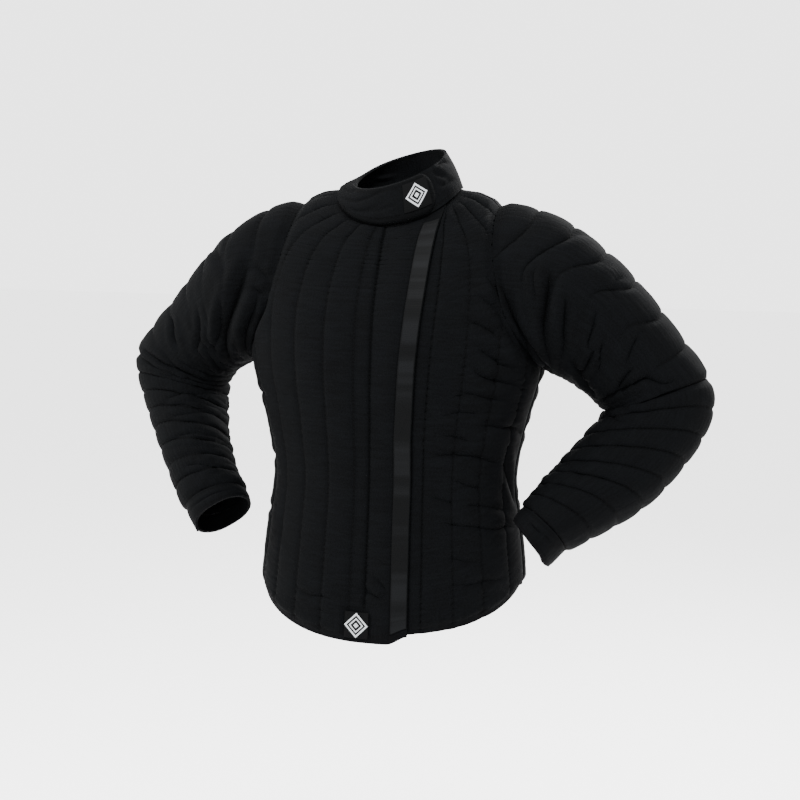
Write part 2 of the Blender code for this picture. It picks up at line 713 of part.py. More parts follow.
def sleeves(body, helpers, cloth, body_cutters):
    loop = armhole_loop(ARM_POINTS)
    gap = 0.010
    wide = np.ones((1, ARM_POINTS))
    for name, side in (("left", 1), ("right", -1)):
        mirror = np.array([side, 1, 1])
        pieces = (
            ("_upper_sleeve", -1.0, ELBOW_AT + 0.03, UPPER_CHANNELS, 3, CROWN_WALL * 0.9, "upper"),
            ("_lower_sleeve", ELBOW_AT - 0.03, CUFF_AT - gap, LOWER_CHANNELS, 2, CROWN_WALL * 0.8, "lower"),
        )
        for label, low, high, channels, per, wall, skin in pieces:
            at, phase = arm_rows(name, low, high, channels, per, loop)
            full = crown(phase)
            if low == -1.0:
                at = np.insert(at, 0, -1.05)
                full = np.insert(full, 0, 0.0)
            points = np.array([arm_surface(name, one, ARM_POINTS, loop) for one in at]) * mirror
            points = fold_arm(name, at, points)
            made = sheet(
                name + label,
                points,
                full[:, None] * inner_fade(at),
                wall,
                STITCH_WALL,
                body,
                cloth[skin],
                closed=True,
                flip=side < 0,
            )
            if low == -1.0:
                cut(made, body_cutters[name])
                cut(made, elbow_box(name, side, 1, helpers))
            else:
                cut(made, elbow_box(name, side, -1, helpers))
        at = np.linspace(CUFF_AT + gap, len(ARM_RAILS[name]) - 1, 4)
        points = np.array([arm_surface(name, one, ARM_POINTS, loop) for one in at]) * mirror
        full = np.array([0.0, 1.0, 1.0, 0.3])[:, None] * wide
        sheet(
            name + "_cuff",
            points,
            full,
            0.0046,
            0.0026,
            body,
            cloth["cuff"],
            closed=True,
            flip=side < 0,
        )


def neck_angle(q):
    """The angle from the front, in degrees, of a place on the neck edge."""
    ring = torso(q, 1.0)
    return np.degrees(np.arctan2(ring[..., 0] / 0.085, -ring[..., 1] / 0.066))


def collar_base(angle, lap):
    """The neck edge of the torso's outer face at an angle to the wearer's left of the front."""
    angle = (np.asarray(angle, float) + 180) % 360 - 180
    s = np.linspace(-2, 2, 1601)
    seen = neck_angle(s)
    seen[0] = -180
    seen[-1] = 180
    q = np.interp(angle, seen, s)
    over = smooth(q, -0.06, 0.12) * (1 - smooth(q, lap + 0.03, lap + 0.30))
    rise = STITCH_WALL + SEAM_GAP + 0.0001 + LAP_LIFT * over
    return torso(q, 1.0) + torso_normal(q, np.full(q.shape, 0.998)) * rise[..., None]


def collar_form(angle, height, lap):
    """A point of the collar's inner face: height 0 at the neck, 1 at the top edge."""
    angle = np.asarray(angle, float)
    height = np.asarray(height, float)
    angle, height = np.broadcast_arrays(angle, height)
    half, front, rear, middle, back_rise, left_rise = COLLAR_TOP
    c = np.cos(np.radians(angle))
    s = np.sin(np.radians(angle))
    x = half * s
    y = np.where(c > 0, front * c, -rear * c)
    z = middle - back_rise * c + left_rise * s
    top = np.stack([x, y, z], -1)
    base = collar_base(angle, lap)
    bow = 0.0022 * np.sin(np.pi * np.clip(height, 0, 1))
    out = base + (top - base) * height[..., None]
    return out + np.stack([s, -c, 0 * s], -1) * bow[..., None]


def collar_normal(angle, height, lap):
    step = 0.6
    across = collar_form(angle + step, height, lap) - collar_form(angle - step, height, lap)
    up = collar_form(angle, height + 0.02, lap) - collar_form(angle, height - 0.02, lap)
    return unit(np.cross(across, up))


def collar_pieces(neck, lap, body, cloth):
    angle = neck_angle(neck)
    height = np.linspace(0, 1, COLLAR_ROWS)
    a, h = np.meshgrid(angle, height)
    points = collar_form(a, h, lap)
    sheet(
        "collar",
        points,
        np.ones(a.shape),
        COLLAR_WALL,
        COLLAR_WALL,
        body,
        cloth["collar"],
        closed=True,
    )
    rise = COLLAR_WALL + 0.0010
    h = np.linspace(0, 1, 7)
    corner = 0.42
    round_off = np.clip((np.abs(2 * h - 1) - (1 - 2 * corner)) / (2 * corner), 0, 1)
    cut_in = 1 - np.sqrt(1 - round_off**2 * 0.96)
    low, high = TAB_ANGLES
    rows = []
    for k, one in enumerate(h):
        rows.append(np.linspace(low + 22 * cut_in[k], high - 14 * cut_in[k], 19))
    a = np.array(rows)
    hh = np.broadcast_to((TAB_HEIGHT[0] + (TAB_HEIGHT[1] - TAB_HEIGHT[0]) * h)[:, None], a.shape)
    points = collar_form(a, hh, lap) + collar_normal(a, hh, lap) * rise
    w = np.ones(a.shape)
    w[0] = 0
    w[-1] = 0
    w[:, 0] = 0
    w[:, -1] = 0
    sheet("throat_tab", points, w, 0.0040, 0.0028, body, cloth["tab"])
    a = np.linspace(COLLAR_PATCH[0], COLLAR_PATCH[1], 6)
    h = np.linspace(COLLAR_PATCH_HEIGHT[0], COLLAR_PATCH_HEIGHT[1], 6)
    a, h = np.meshgrid(a, h)
    points = collar_form(a, h, lap) + collar_normal(a, h, lap) * (rise + 0.0040 + 0.0008)
    sheet("collar_patch", points, np.ones(a.shape), PATCH_WALL, PATCH_WALL, body, cloth["patch"])


clear_scene()
build()
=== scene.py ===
# %% [markdown]
# A quilted fencing jacket, filled out with no wearer in it, its sleeves bent hands-on-hips.
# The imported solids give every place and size. Each one is stood in for by a finer sheet of the
# same form, because quilting, puckers and folds need a point every 3 mm or so. The sheets are laid
# by rule on the garment's form: a scan or a sculpt would do too, but a rule can be resized.

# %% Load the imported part
import math

import bpy
import numpy as np
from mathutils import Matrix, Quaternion, Vector


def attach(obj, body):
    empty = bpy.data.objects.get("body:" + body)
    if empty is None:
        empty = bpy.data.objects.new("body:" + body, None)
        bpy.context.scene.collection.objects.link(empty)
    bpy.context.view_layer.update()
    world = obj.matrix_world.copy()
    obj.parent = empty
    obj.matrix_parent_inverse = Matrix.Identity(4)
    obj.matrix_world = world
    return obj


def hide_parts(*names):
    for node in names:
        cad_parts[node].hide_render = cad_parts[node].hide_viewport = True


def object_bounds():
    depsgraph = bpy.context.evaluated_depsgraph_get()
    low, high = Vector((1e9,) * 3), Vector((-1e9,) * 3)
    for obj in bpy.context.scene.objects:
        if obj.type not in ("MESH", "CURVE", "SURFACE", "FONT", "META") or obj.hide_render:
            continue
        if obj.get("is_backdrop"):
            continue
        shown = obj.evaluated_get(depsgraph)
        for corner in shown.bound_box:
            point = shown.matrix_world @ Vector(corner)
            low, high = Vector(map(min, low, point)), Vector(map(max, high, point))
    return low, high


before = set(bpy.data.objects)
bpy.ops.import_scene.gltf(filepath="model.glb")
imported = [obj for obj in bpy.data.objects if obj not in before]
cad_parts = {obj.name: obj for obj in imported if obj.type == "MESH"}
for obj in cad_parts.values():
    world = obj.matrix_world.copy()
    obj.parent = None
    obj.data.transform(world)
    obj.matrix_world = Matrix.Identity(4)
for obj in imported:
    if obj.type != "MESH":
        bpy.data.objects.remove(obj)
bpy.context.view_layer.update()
fine = 1.0
print("solids to dress:", len(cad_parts))

# %% [markdown]
# The camera stands where the photographer's did: 2.2 m off, 17 degrees to the wearer's left and
# 5 degrees up, tipped by 1 degree. A long lens keeps the sleeves from swelling. It is made first,
# so that each piece can be looked at as it is added.

# %% Camera
AIM = Vector((0.0, -0.02, -0.26))
AZIMUTH = math.radians(17)
ELEVATION = math.radians(5)
TIP = math.radians(1)
DISTANCE = 2.2
SENSOR = 36
# Side of the picture, focal length and shift of the frame, in pixels.
PICTURE = 800
FOCAL = 1571
SHIFT = (7, -27)
back_way = Vector(
    (
        math.sin(AZIMUTH) * math.cos(ELEVATION),
        -math.cos(AZIMUTH) * math.cos(ELEVATION),
        math.sin(ELEVATION),
    )
)
camera = bpy.data.objects.new("camera", bpy.data.cameras.new("camera"))
bpy.context.scene.collection.objects.link(camera)
bpy.context.scene.camera = camera
camera.data.sensor_width = SENSOR
camera.data.lens = SENSOR * FOCAL / PICTURE
camera.data.shift_x = SHIFT[0] / PICTURE
camera.data.shift_y = SHIFT[1] / PICTURE
camera.location = AIM + back_way * DISTANCE
camera.rotation_mode = "QUATERNION"
camera.rotation_quaternion = (-back_way).to_track_quat("-Z", "Y") @ Quaternion((0, 0, 1), TIP)
print("camera at", [round(c, 3) for c in camera.location])

# %% [markdown]
# Dark cloth shows its form only by soft light, so the studio is a pale room: a pale sky all
# round, a large lamp high in front, a weaker one from the wearer's right and one high behind to draw
# the folds. The floor is a wide pale plane a standing height below the neck.

# %% Studio
# Lamps: name, place, width of the disk, power in watts.
LAMPS = (
    ("key", (0.6, -2.3, 2.6), 0.8, 340),
    ("side", (-2.6, -0.6, 0.6), 1.0, 120),
    ("rear", (1.2, 2.6, 1.8), 1.4, 260),
)
SKY_STRENGTH = 3.2
FLOOR_SIZE = 60
FLOOR_Z = -1.45
sky = bpy.data.worlds.new("studio")
bpy.context.scene.world = sky
sky.use_nodes = True
sky.node_tree.nodes["Background"].inputs["Color"].default_value = (1, 1, 1, 1)
sky.node_tree.nodes["Background"].inputs["Strength"].default_value = SKY_STRENGTH
for name, place, size, power in LAMPS:
    light = bpy.data.lights.new(name, "AREA")
    light.shape = "DISK"
    light.size = size
    light.energy = power
    lamp = bpy.data.objects.new(name, light)
    bpy.context.scene.collection.objects.link(lamp)
    lamp.location = place
    lamp.rotation_mode = "QUATERNION"
    lamp.rotation_quaternion = (AIM - Vector(place)).to_track_quat("-Z", "Y")
bpy.ops.object.select_all(action="DESELECT")
bpy.ops.mesh.primitive_plane_add(size=FLOOR_SIZE, location=(0, 0, FLOOR_Z))
floor = bpy.context.object
floor.name = "floor"
floor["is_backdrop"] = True
paint = bpy.data.materials.new("pale floor")
paint.use_nodes = True
paint.node_tree.nodes["Principled BSDF"].inputs["Base Color"].default_value = (0.93, 0.93, 0.93, 1)
paint.node_tree.nodes["Principled BSDF"].inputs["Roughness"].default_value = 0.9
floor.data.materials.append(paint)
print("lamps:", len(LAMPS), "floor at", FLOOR_Z)

# %% [markdown]
# The cut of the jacket. Each ring of the torso is a squared oval. The armhole is one outline seen
# from the front. Each sleeve runs on two rails, its outer and its inner outline. These are the
# sizes that the solids were made from. The three tables give millimetres, all else is in metres.

# %% Sizes of the cut
STITCH_WALL = 0.0022
CROWN_WALL = 0.0085
# Torso, hem to neck: z at centre front, side and centre back, half width, depth in front and
# behind, and squareness, which is a plain number.
TORSO_RINGS = (
    (-617, -548, -592, 183, 134, 114, 2.2),
    (-556, -502, -540, 179, 130, 111, 2.2),
    (-480, -450, -470, 172, 124, 104, 2.2),
    (-400, -392, -400, 166, 119, 101, 2.2),
    (-320, -318, -320, 181, 122, 113, 2.25),
    (-245, -246, -243, 200, 124, 126, 2.3),
    (-175, -160, -160, 205, 117, 132, 2.35),
    (-118, -86, -90, 196, 98, 121, 2.35),
    (-84, -45, -48, 170, 82, 103, 2.3),
    (-67, -21, -18, 126, 72, 83, 2.15),
    (-56, -5, 2, 85, 64, 68, 2),
)
# Armhole: x, z.
ARMHOLE = (
    (140, 80),
    (140.5, 0),
    (145, -60),
    (155, -120),
    (169, -170),
    (189, -206),
    (202, -230),
    (212, -252),
    (217, -290),
    (218, -380),
    (218, -800),
)
# Sleeve rails, shoulder to cuff: outer x, y, z, inner x, y, z, half width across the rails.
ARM_RAILS = {
    "left": (
        (203, -6, -31, 220, 4, -251, 82),
        (266, -2, -65, 234, 8, -258, 79),
        (316, 8, -107, 252, 12, -267, 75),
        (359, 20, -155, 269, 18, -281, 71),
        (398, 32, -206, 282, 24, -294, 68),
        (430, 40, -253, 291, 26, -304, 66),
        (437, 36, -299, 279, 18, -327, 64),
        (414, 18, -353, 252, 2, -360, 61),
        (369, -12, -410, 226, -18, -393, 57),
        (315, -44, -447, 206, -36, -419, 52),
        (262, -68, -481, 195, -50, -434, 47),
        (239, -80, -505, 186, -57, -450, 46),
    ),
    "right": (
        (205, -6, -44, 214, 4, -243, 82),
        (247, -2, -70, 224, 8, -252, 79),
        (288, 8, -107, 236, 12, -260, 74),
        (332, 20, -154, 250, 18, -268, 70),
        (378, 32, -200, 265, 24, -278, 67),
        (411, 40, -247, 274, 26, -293, 65),
        (408, 36, -292, 273, 18, -312, 62),
        (387, 18, -338, 265, 2, -342, 57),
        (356, -12, -384, 250, -18, -374, 52),
        (322, -44, -432, 231, -36, -406, 48),
        (290, -68, -470, 209, -50, -430, 47),
        (271, -80, -493, 199, -57, -444, 46),
    ),
}
# The tables give the outside of the padding, and the form lies this far inside it.
RAIL_INSET = 0.0055
ARM_SQUARENESS = 2.15
# Places along a sleeve, counted in rows of its table.
CAP_END = 1
ELBOW_AT = 5
CUFF_AT = 10
# How the cap leaves the armhole under the arm, what is added to that over it, and how strongly.
CAP_WAY = np.array([0.77, 0.03, -0.64])
CAP_WAY_OVER = np.array([0.95, 0, 0.62])
CAP_PULL = 1.1


# %% Reading a table smoothly
def smooth(x, low, high):
    """0 below low, 1 above high, an even slope between."""
    t = np.clip((np.asarray(x, float) - low) / (high - low), 0, 1)
    return t * t * (3 - 2 * t)


def hermite(t):
    """Weights of a start, the way it is left by, an end, and the way it is reached by."""
    return 2 * t**3 - 3 * t**2 + 1, t**3 - 2 * t**2 + t, -2 * t**3 + 3 * t**2, t**3 - t**2


def spline(table, at):
    """Rows of a table read at any place along it, through every row (cubic)."""
    table = np.asarray(table, float)
    last = len(table) - 1
    at = np.clip(np.asarray(at, float), 0, last)
    i = np.minimum(at.astype(int), last - 1)
    p1 = table[i]
    p2 = table[i + 1]
    p0 = np.where((i > 0)[..., None], table[np.maximum(i - 1, 0)], 2 * p1 - p2)
    p3 = np.where((i < last - 1)[..., None], table[np.minimum(i + 2, last)], 2 * p2 - p1)
    a, b, c, d = hermite((at - i)[..., None])
    return a * p1 + b * ((p2 - p0) / 2) + c * p2 + d * ((p3 - p1) / 2)


def unit(v):
    return v / np.maximum(np.linalg.norm(v, axis=-1, keepdims=True), 1e-12)


def run_along(points):
    """Distance of each point of a line from its start."""
    return np.concatenate([[0], np.cumsum(np.linalg.norm(np.diff(points, axis=0), axis=1))])


def points_at(at, run, points):
    """Points of a line at given distances along it."""
    return np.stack([np.interp(at, run, points[:, j]) for j in range(3)], -1)


# %% [markdown]
# The torso is read from a table of points made once: 161 rows from hem to neck, and columns from
# centre front over the side to centre back. q counts round it, 0 at the centre front, 1 at the
# wearer's left side, 2 at the centre back, and minus on the right. v goes from hem to neck.

# %% The torso's form
FORM_ROWS = 161
FORM_COLUMNS = 101
RING_POINTS = 97
# Power of the cosine by which a ring's height changes from its side to its middle.
RING_SAG = 1.15


def quarter_ring(row, behind):
    zf, zs, zb, half, front, rear, square = row
    a = np.linspace(0, math.pi / 2, RING_POINTS)
    x = half * np.sin(a) ** (2 / square)
    y = (rear if behind else -front) * np.cos(a) ** (2 / square)
    z = zs + ((zb if behind else zf) - zs) * np.cos(a) ** RING_SAG
    points = np.stack([x, y, z], -1)
    run = run_along(points[:, :2])
    return points, run / run[-1]


def torso_table():
    rings = np.array(TORSO_RINGS) / ([1000] * 6 + [1])
    rows = spline(rings, np.linspace(0, len(rings) - 1, FORM_ROWS))
    s = np.linspace(0, 1, FORM_COLUMNS)
    table = np.zeros((FORM_ROWS, 2 * FORM_COLUMNS - 1, 3))
    for k, row in enumerate(rows):
        for behind in (False, True):
            points, run = quarter_ring(row, behind)
            read = points_at(s, run, points)
            if behind:
                table[k, FORM_COLUMNS - 1 :] = read[::-1]
            else:
                table[k, :FORM_COLUMNS] = read
    return table


TABLE = torso_table()


def torso(q, v):
    """Points of the torso's form."""
    q, v = np.broadcast_arrays(np.asarray(q, float), np.asarray(v, float))
    side = np.where(q < 0, -1.0, 1.0)
    a = np.clip(np.abs(q), 0, 2) * (FORM_COLUMNS - 1)
    b = np.clip(v, 0, 1) * (FORM_ROWS - 1)
    i = np.minimum(a.astype(int), 2 * FORM_COLUMNS - 3)
    j = np.minimum(b.astype(int), FORM_ROWS - 2)
    s = (a - i)[..., None]
    t = (b - j)[..., None]
    low = TABLE[j, i] * (1 - s) + TABLE[j, i + 1] * s
    high = TABLE[j + 1, i] * (1 - s) + TABLE[j + 1, i + 1] * s
    out = low * (1 - t) + high * t
    out[..., 0] *= side
    return out


def torso_normal(q, v):
    e = 0.01
    du = torso(q + e, v) - torso(q - e, v)
    dv = torso(q, np.clip(v + e, 0, 1)) - torso(q, np.clip(v - e, 0, 1))
    return unit(np.cross(du, dv))


ARMHOLE_LINE = spline(np.array(ARMHOLE) / 1000, np.linspace(0, len(ARMHOLE) - 1, 241))


def armhole_x(z):
    return np.interp(-np.asarray(z, float), -ARMHOLE_LINE[:, 1], ARMHOLE_LINE[:, 0])


print("torso table:", TABLE.shape)


# %% [markdown]
# The sleeve leaves the armhole, bends over the cap on to its rails, and follows them to the cuff.
# A ring of it starts on the outer rail and turns to the front, so an angle of 90 degrees faces the
# camera and 180 lies under the arm.


# %% The sleeve's form
def armhole_half(behind, count):
    """Points where the armhole cuts the torso, from the top to the armpit."""
    found = []
    q = np.linspace(1, 2 if behind else 0, 240)
    for v in np.linspace(1, 0, 900):
        p = torso(q, v)
        gap = p[:, 0] - armhole_x(p[:, 2])
        if gap[0] <= 0:
            if found:
                found.append(p[0])
                break
            top = p[0]
            continue
        if not found:
            found.append(top)
        k = np.argmax(gap <= 0)
        t = gap[k - 1] / (gap[k - 1] - gap[k])
        found.append(p[k - 1] * (1 - t) + p[k] * t)
    found = np.array(found)
    run = run_along(found)
    return points_at(np.linspace(0, run[-1], count), run, found)


def armhole_loop(count):
    front = armhole_half(False, count // 2 + 1)
    behind = armhole_half(True, count // 2 + 1)
    return np.concatenate([front[:-1], behind[::-1][:-1]])


def arm_ring(arm, at, count):
    """A ring of the sleeve on its rails, square to them and a little squared itself."""
    rails = np.array(ARM_RAILS[arm]) / 1000
    row, ahead, before = spline(
        rails, np.array([at, min(at + 0.05, len(rails) - 1), max(at - 0.05, 0)])
    )
    across = (row[:3] - row[3:6]) / 2
    across = across - unit(across) * RAIL_INSET
    along = (ahead[:3] + ahead[3:6] - before[:3] - before[3:6]) / 2
    side = unit(np.cross(across, along))
    side = -side if side[1] > 0 else side
    a = np.arange(count) * 2 * math.pi / count
    power = 2 / ARM_SQUARENESS
    ca = np.sign(np.cos(a)) * np.abs(np.cos(a)) ** power
    sa = np.sign(np.sin(a)) * np.abs(np.sin(a)) ** power
    middle = (row[:3] + row[3:6]) / 2
    return middle + ca[:, None] * across + sa[:, None] * side * (row[6] - RAIL_INSET)


def arm_surface(arm, at, count, loop):
    """The ring at a place along the sleeve: -1 is the armhole, CAP_END and on are the rails."""
    if at >= CAP_END:
        return arm_ring(arm, at, count)
    t = (at + 1) / (CAP_END + 1)
    end = arm_ring(arm, CAP_END, count)
    after = arm_ring(arm, CAP_END + 0.25, count)
    over = ((1 + np.cos(np.arange(count) * 2 * math.pi / count)) / 2)[:, None]
    leave = unit(CAP_WAY + over * CAP_WAY_OVER)
    reach = np.linalg.norm(end - loop, axis=1, keepdims=True)
    arrive = unit(after - end)
    a, b, c, d = hermite(t)
    return a * loop + b * leave * reach * CAP_PULL + c * end + d * arrive * reach * CAP_PULL


# %% [markdown]
# Shader maths reads best as plain expressions, so a socket is wrapped in a small class whose
# operators add Math nodes. Wiring them by hand would take a page for each finish.


# %% Shader arithmetic
class Wire:
    """A value in a material's node tree. + - * and < on it add Math nodes."""

    def __init__(self, tree, socket):
        self.tree = tree
        self.socket = socket

    def math(self, operation, *others):
        return node(self.tree, "ShaderNodeMath", {"operation": operation}, (self, *others))

    def __add__(self, other):
        return self.math("ADD", other)

    __radd__ = __add__

    def __sub__(self, other):
        return self.math("SUBTRACT", other)

    def __rsub__(self, other):
        return node(self.tree, "ShaderNodeMath", {"operation": "SUBTRACT"}, (other, self))

    def __mul__(self, other):
        return self.math("MULTIPLY", other)

    __rmul__ = __mul__

    def __lt__(self, other):
        return self.math("LESS_THAN", other)

    def soft(self, low, high):
        """1 below low, 0 above high."""
        settings = {"interpolation_type": "SMOOTHSTEP"}
        return node(self.tree, "ShaderNodeMapRange", settings, (self, low, high, 1.0, 0.0))


def node(tree, kind, settings, inputs=(), out=0):
    """Adds a node: its settings first, then the values or links of its sockets."""
    made = tree.nodes.new(kind)
    for name, value in settings.items():
        setattr(made, name, value)
    pairs = inputs.items() if isinstance(inputs, dict) else enumerate(inputs)
    for key, value in pairs:
        if isinstance(value, Wire):
            tree.links.new(value.socket, made.inputs[key])
        else:
            made.inputs[key].default_value = value
    return Wire(tree, made.outputs[out])


def noise(tree, place, scale, detail):
    inputs = {"Vector": place, "Scale": scale, "Detail": detail}
    return node(tree, "ShaderNodeTexNoise", {}, inputs)


def sine(way, pitch):
    """A wave between 0 and 1 along a map."""
    return (way * (2 * math.pi / pitch)).math("SINE") * 0.5 + 0.5


def blend(tree, factor, one, two):
    """Colour one where factor is 0, colour two where it is 1."""
    one, two = (c if isinstance(c, Wire) else (*c, 1) for c in (one, two))
    return node(tree, "ShaderNodeMix", {"data_type": "RGBA"}, {0: factor, 6: one, 7: two}, 2)


def maps(tree):
    """The two maps of the cloth, in metres, each whole and in its parts: the weave across and
    along, and the distance to a seam and the run along it. The distance is made small at the
    bottom of deep folds too, so that the finish paints shade there."""
    found = []
    for name in ("weave", "stitch"):
        place = node(tree, "ShaderNodeUVMap", {"uv_map": name})
        split = tree.nodes.new("ShaderNodeSeparateXYZ")
        tree.links.new(place.socket, split.inputs[0])
        found += [place, Wire(tree, split.outputs[0]), Wire(tree, split.outputs[1])]
    return found


def new_finish(name, rough, gloss=0.04):
    made = bpy.data.materials.new(name)
    made.use_nodes = True
    shader = made.node_tree.nodes["Principled BSDF"]
    shader.inputs["Specular IOR Level"].default_value = gloss
    shader.inputs["Roughness"].default_value = rough
    return made, made.node_tree, shader


def emboss(tree, shader, strength, distance, height):
    """Gives the finish a fine relief."""
    inputs = {"Strength": strength, "Distance": distance, "Height": height}
    bump = node(tree, "ShaderNodeBump", {}, inputs)
    tree.links.new(bump.socket, shader.inputs["Normal"])


# %% [markdown]
# The cloth is a heavy, closely woven, near black cotton with a faint cool cast. Up close it is a
# diagonal twill, and from a step away it is a slightly blotchy matt grey. Each sewn line is a crease
# with stitches about 4 mm apart lying in it, and the crease is darkened with painted shade, as is the
# bottom of each deep fold. Fine crinkles run out of it, raised in relief and with their light and
# shade painted into the colour, and the cloth is rubbed a little paler here and there. The maps are
# in metres, so the weave keeps its scale on every piece.


# %% Quilted cloth finish
TWILL_PITCH = 0.0016
# Pitch of the stitches and the thread's share of it, half width of the thread, half width of the
# crease it lies in, which is darkened with painted shade, and how far the crinkles reach.
STITCH_PITCH = 0.0042
STITCH_SHARE = 0.62
THREAD = 0.0007
CREASE_SHADE_WIDTH = 0.0026
CRINKLE_REACH = 0.014


def cloth_finish(name, dark, light, thread, rough):
    made, tree, shader = new_finish(name, rough, 0.03)
    weave, across, along, _, seam, run = maps(tree)
    blot = noise(tree, weave, 26.0, 4.0)
    grain = noise(tree, weave, 420.0, 3.0)
    twill = sine(across + along, TWILL_PITCH)
    # Noise drawn out across the sewn lines, and different in each channel.
    drawn = node(tree, "ShaderNodeCombineXYZ", {}, (seam, run * 4.2, (across + along) * 0.35))
    crinkle_relief_and_shade = noise(tree, drawn, 80.0, 3.0)
    # The crinkles tint the colour too: painted light and shade on them, beside their relief.
    mixed = blot * 0.9 + grain * 1.4 + twill * 0.14 + crinkle_relief_and_shade * 1.1 - 1.28
    cloth = blend(tree, mixed, dark, light)
    crease_dip_and_shade = seam.soft(0.0, CREASE_SHADE_WIDTH)
    dash = (run * (1 / STITCH_PITCH)).math("FRACT") < STITCH_SHARE
    stitch = (seam < THREAD) * dash
    # Painted shade: the cloth is darkened in the crease of each sewn line and at the bottom of deep folds.
    shaded = blend(tree, crease_dip_and_shade * 0.66, cloth, tuple(0.38 * c for c in dark))
    colour = blend(tree, stitch * 0.5, shaded, thread)
    tree.links.new(colour.socket, shader.inputs["Base Color"])
    tree.links.new((blot * 0.10 + (rough - 0.05)).socket, shader.inputs["Roughness"])
    beside = seam.soft(0.0, CRINKLE_REACH) * 0.6 + 0.4
    height = twill * 0.25 + grain * 1.4 + stitch * 1.2 - crease_dip_and_shade * 0.9 + crinkle_relief_and_shade * beside * 4.0
    emboss(tree, shader, 0.55, 0.00035, height)
    return made


quilted = cloth_finish(
    "quilted cotton",
    dark=(0.00036, 0.00041, 0.00050),
    light=(0.0011, 0.0013, 0.0016),
    thread=(0.0014, 0.0015, 0.0017),
    rough=0.88,
)
plain = cloth_finish(
    "collar cotton",
    dark=(0.00034, 0.00039, 0.00048),
    light=(0.0010, 0.0012, 0.0015),
    thread=(0.0015, 0.0016, 0.0018),
    rough=0.86,
)
print("finishes:", quilted.name, plain.name)

# %% [markdown]
# The closing tape is smooth and paler. The light that a slightly rippled strip catches in uneven
# bands is painted into its colour as pale bands. Its long edges are stitched down and darkened by
# painted shade, and each end is turned under in a short tab, with a darker line across it where
# it is sewn.


# %% Tape finish
RIB_PITCH = 0.0019


def tape_finish():
    made, tree, shader = new_finish("closing tape", 0.5)
    weave, _, along, _, seam, _ = maps(tree)
    inputs = {"W": along * 24.0, "Scale": 1.0, "Detail": 3.0}
    glint_and_ripple_band = node(tree, "ShaderNodeTexNoise", {"noise_dimensions": "1D"}, inputs)
    fibre = noise(tree, weave, 900.0, 2.0)
    # Painted highlight: pale bands along the tape, where a rippled strip would catch the light.
    glint_and_fibre_tone = (glint_and_ripple_band * 7.0 - 3.2) + fibre * 1.2 - 0.6
    body = blend(tree, glint_and_fibre_tone, (0.0005, 0.0006, 0.0007), (0.0021, 0.0023, 0.0026))
    # Painted shade: the tape darkens along its long edges; the same mask darkens the sewn line across each
    # turned end.
    hem = seam.soft(0.0006, 0.0022)
    colour = blend(tree, hem * 0.7, body, (0.0004, 0.0005, 0.0006))
    tree.links.new(colour.socket, shader.inputs["Base Color"])
    tree.links.new((fibre * 0.2 + 0.5).socket, shader.inputs["Roughness"])
    ribs = sine(along, RIB_PITCH)
    emboss(tree, shader, 0.4, 0.0003, ribs * 0.4 + fibre * 0.8 + glint_and_ripple_band * 0.6)
    return made


taped = tape_finish()
print("finish:", taped.name)

# %% [markdown]
# Two small square patches lie on the jacket. Each is a flat woven square with a plain pale diamond
# worked in it, one line inside the other, which says nothing.


# %% Patch finish
# Reach from the middle and half width of the two lines, and reach of the middle diamond.
OUTER_LINE = (0.0155, 0.0017)
INNER_LINE = (0.0092, 0.0013)
MIDDLE = 0.0038
PALE_THREAD_PITCH = 0.0011


def patch_finish():
    made, tree, shader = new_finish("woven patch", 0.78)
    weave, across, along, _, seam, _ = maps(tree)
    reach = across.math("ABSOLUTE") + along.math("ABSOLUTE")
    outer = (reach - OUTER_LINE[0]).math("ABSOLUTE") < OUTER_LINE[1]
    inner = (reach - INNER_LINE[0]).math("ABSOLUTE") < INNER_LINE[1]
    worked = (outer + inner + (reach < MIDDLE)).math("MINIMUM", 1.0)
    threads = sine(across, PALE_THREAD_PITCH)
    grain = noise(tree, weave, 600.0, 2.0)
    ground = blend(tree, grain, (0.0003, 0.0003, 0.0004), (0.0008, 0.0009, 0.0010))
    pale = blend(tree, threads * 0.3 + grain * 0.4, (0.30, 0.31, 0.32), (0.16, 0.165, 0.17))
    rim = seam.soft(0.0004, 0.0020)
    edged = blend(tree, rim * 0.5, ground, (0.0003, 0.0003, 0.0004))
    tree.links.new(blend(tree, worked, edged, pale).socket, shader.inputs["Base Color"])
    emboss(tree, shader, 0.5, 0.0004, worked + grain * 0.5 + rim * 0.6)
    return made


patched = patch_finish()
print("finish:", patched.name)

# %% [markdown]
# Every piece is cloth, so one helper makes them all. It adds a grid with as many divisions as the
# form has points, moves each corner to its place, and gives it its thickness with Solidify, which
# reads a vertex group: thin in the sewn lines and full between them, over a plain inside. Corners
# that fall on each other, along a seam or an armhole, are merged first. The flat size of the cut
# piece is measured on the points.

# %% Laying a sheet of cloth
FINISHES = {
    "quilted_cloth": quilted,
    "collar_cloth": plain,
    "smooth_tape": taped,
    "patch_cloth": patched,
}
MERGE = 0.00004
LEVELS = 250
SMOOTH_TO = math.radians(60)
# A cut piece fills at least this much of its width times its length.
LEAST_FILL = 0.31


def cut_of(points):
    """Widest width, longest length and area of a sheet of points, in metres."""
    wide = np.linalg.norm(np.diff(points, axis=1), axis=-1).sum(1).max()
    long = np.linalg.norm(np.diff(points, axis=0), axis=-1).sum(0).max()
    a = points[1:, 1:] - points[:-1, :-1]
    b = points[1:, :-1] - points[:-1, 1:]
    area = np.linalg.norm(np.cross(a, b), axis=-1).sum() / 2
    return round(float(wide), 3), round(float(long), 3), round(float(area), 4)


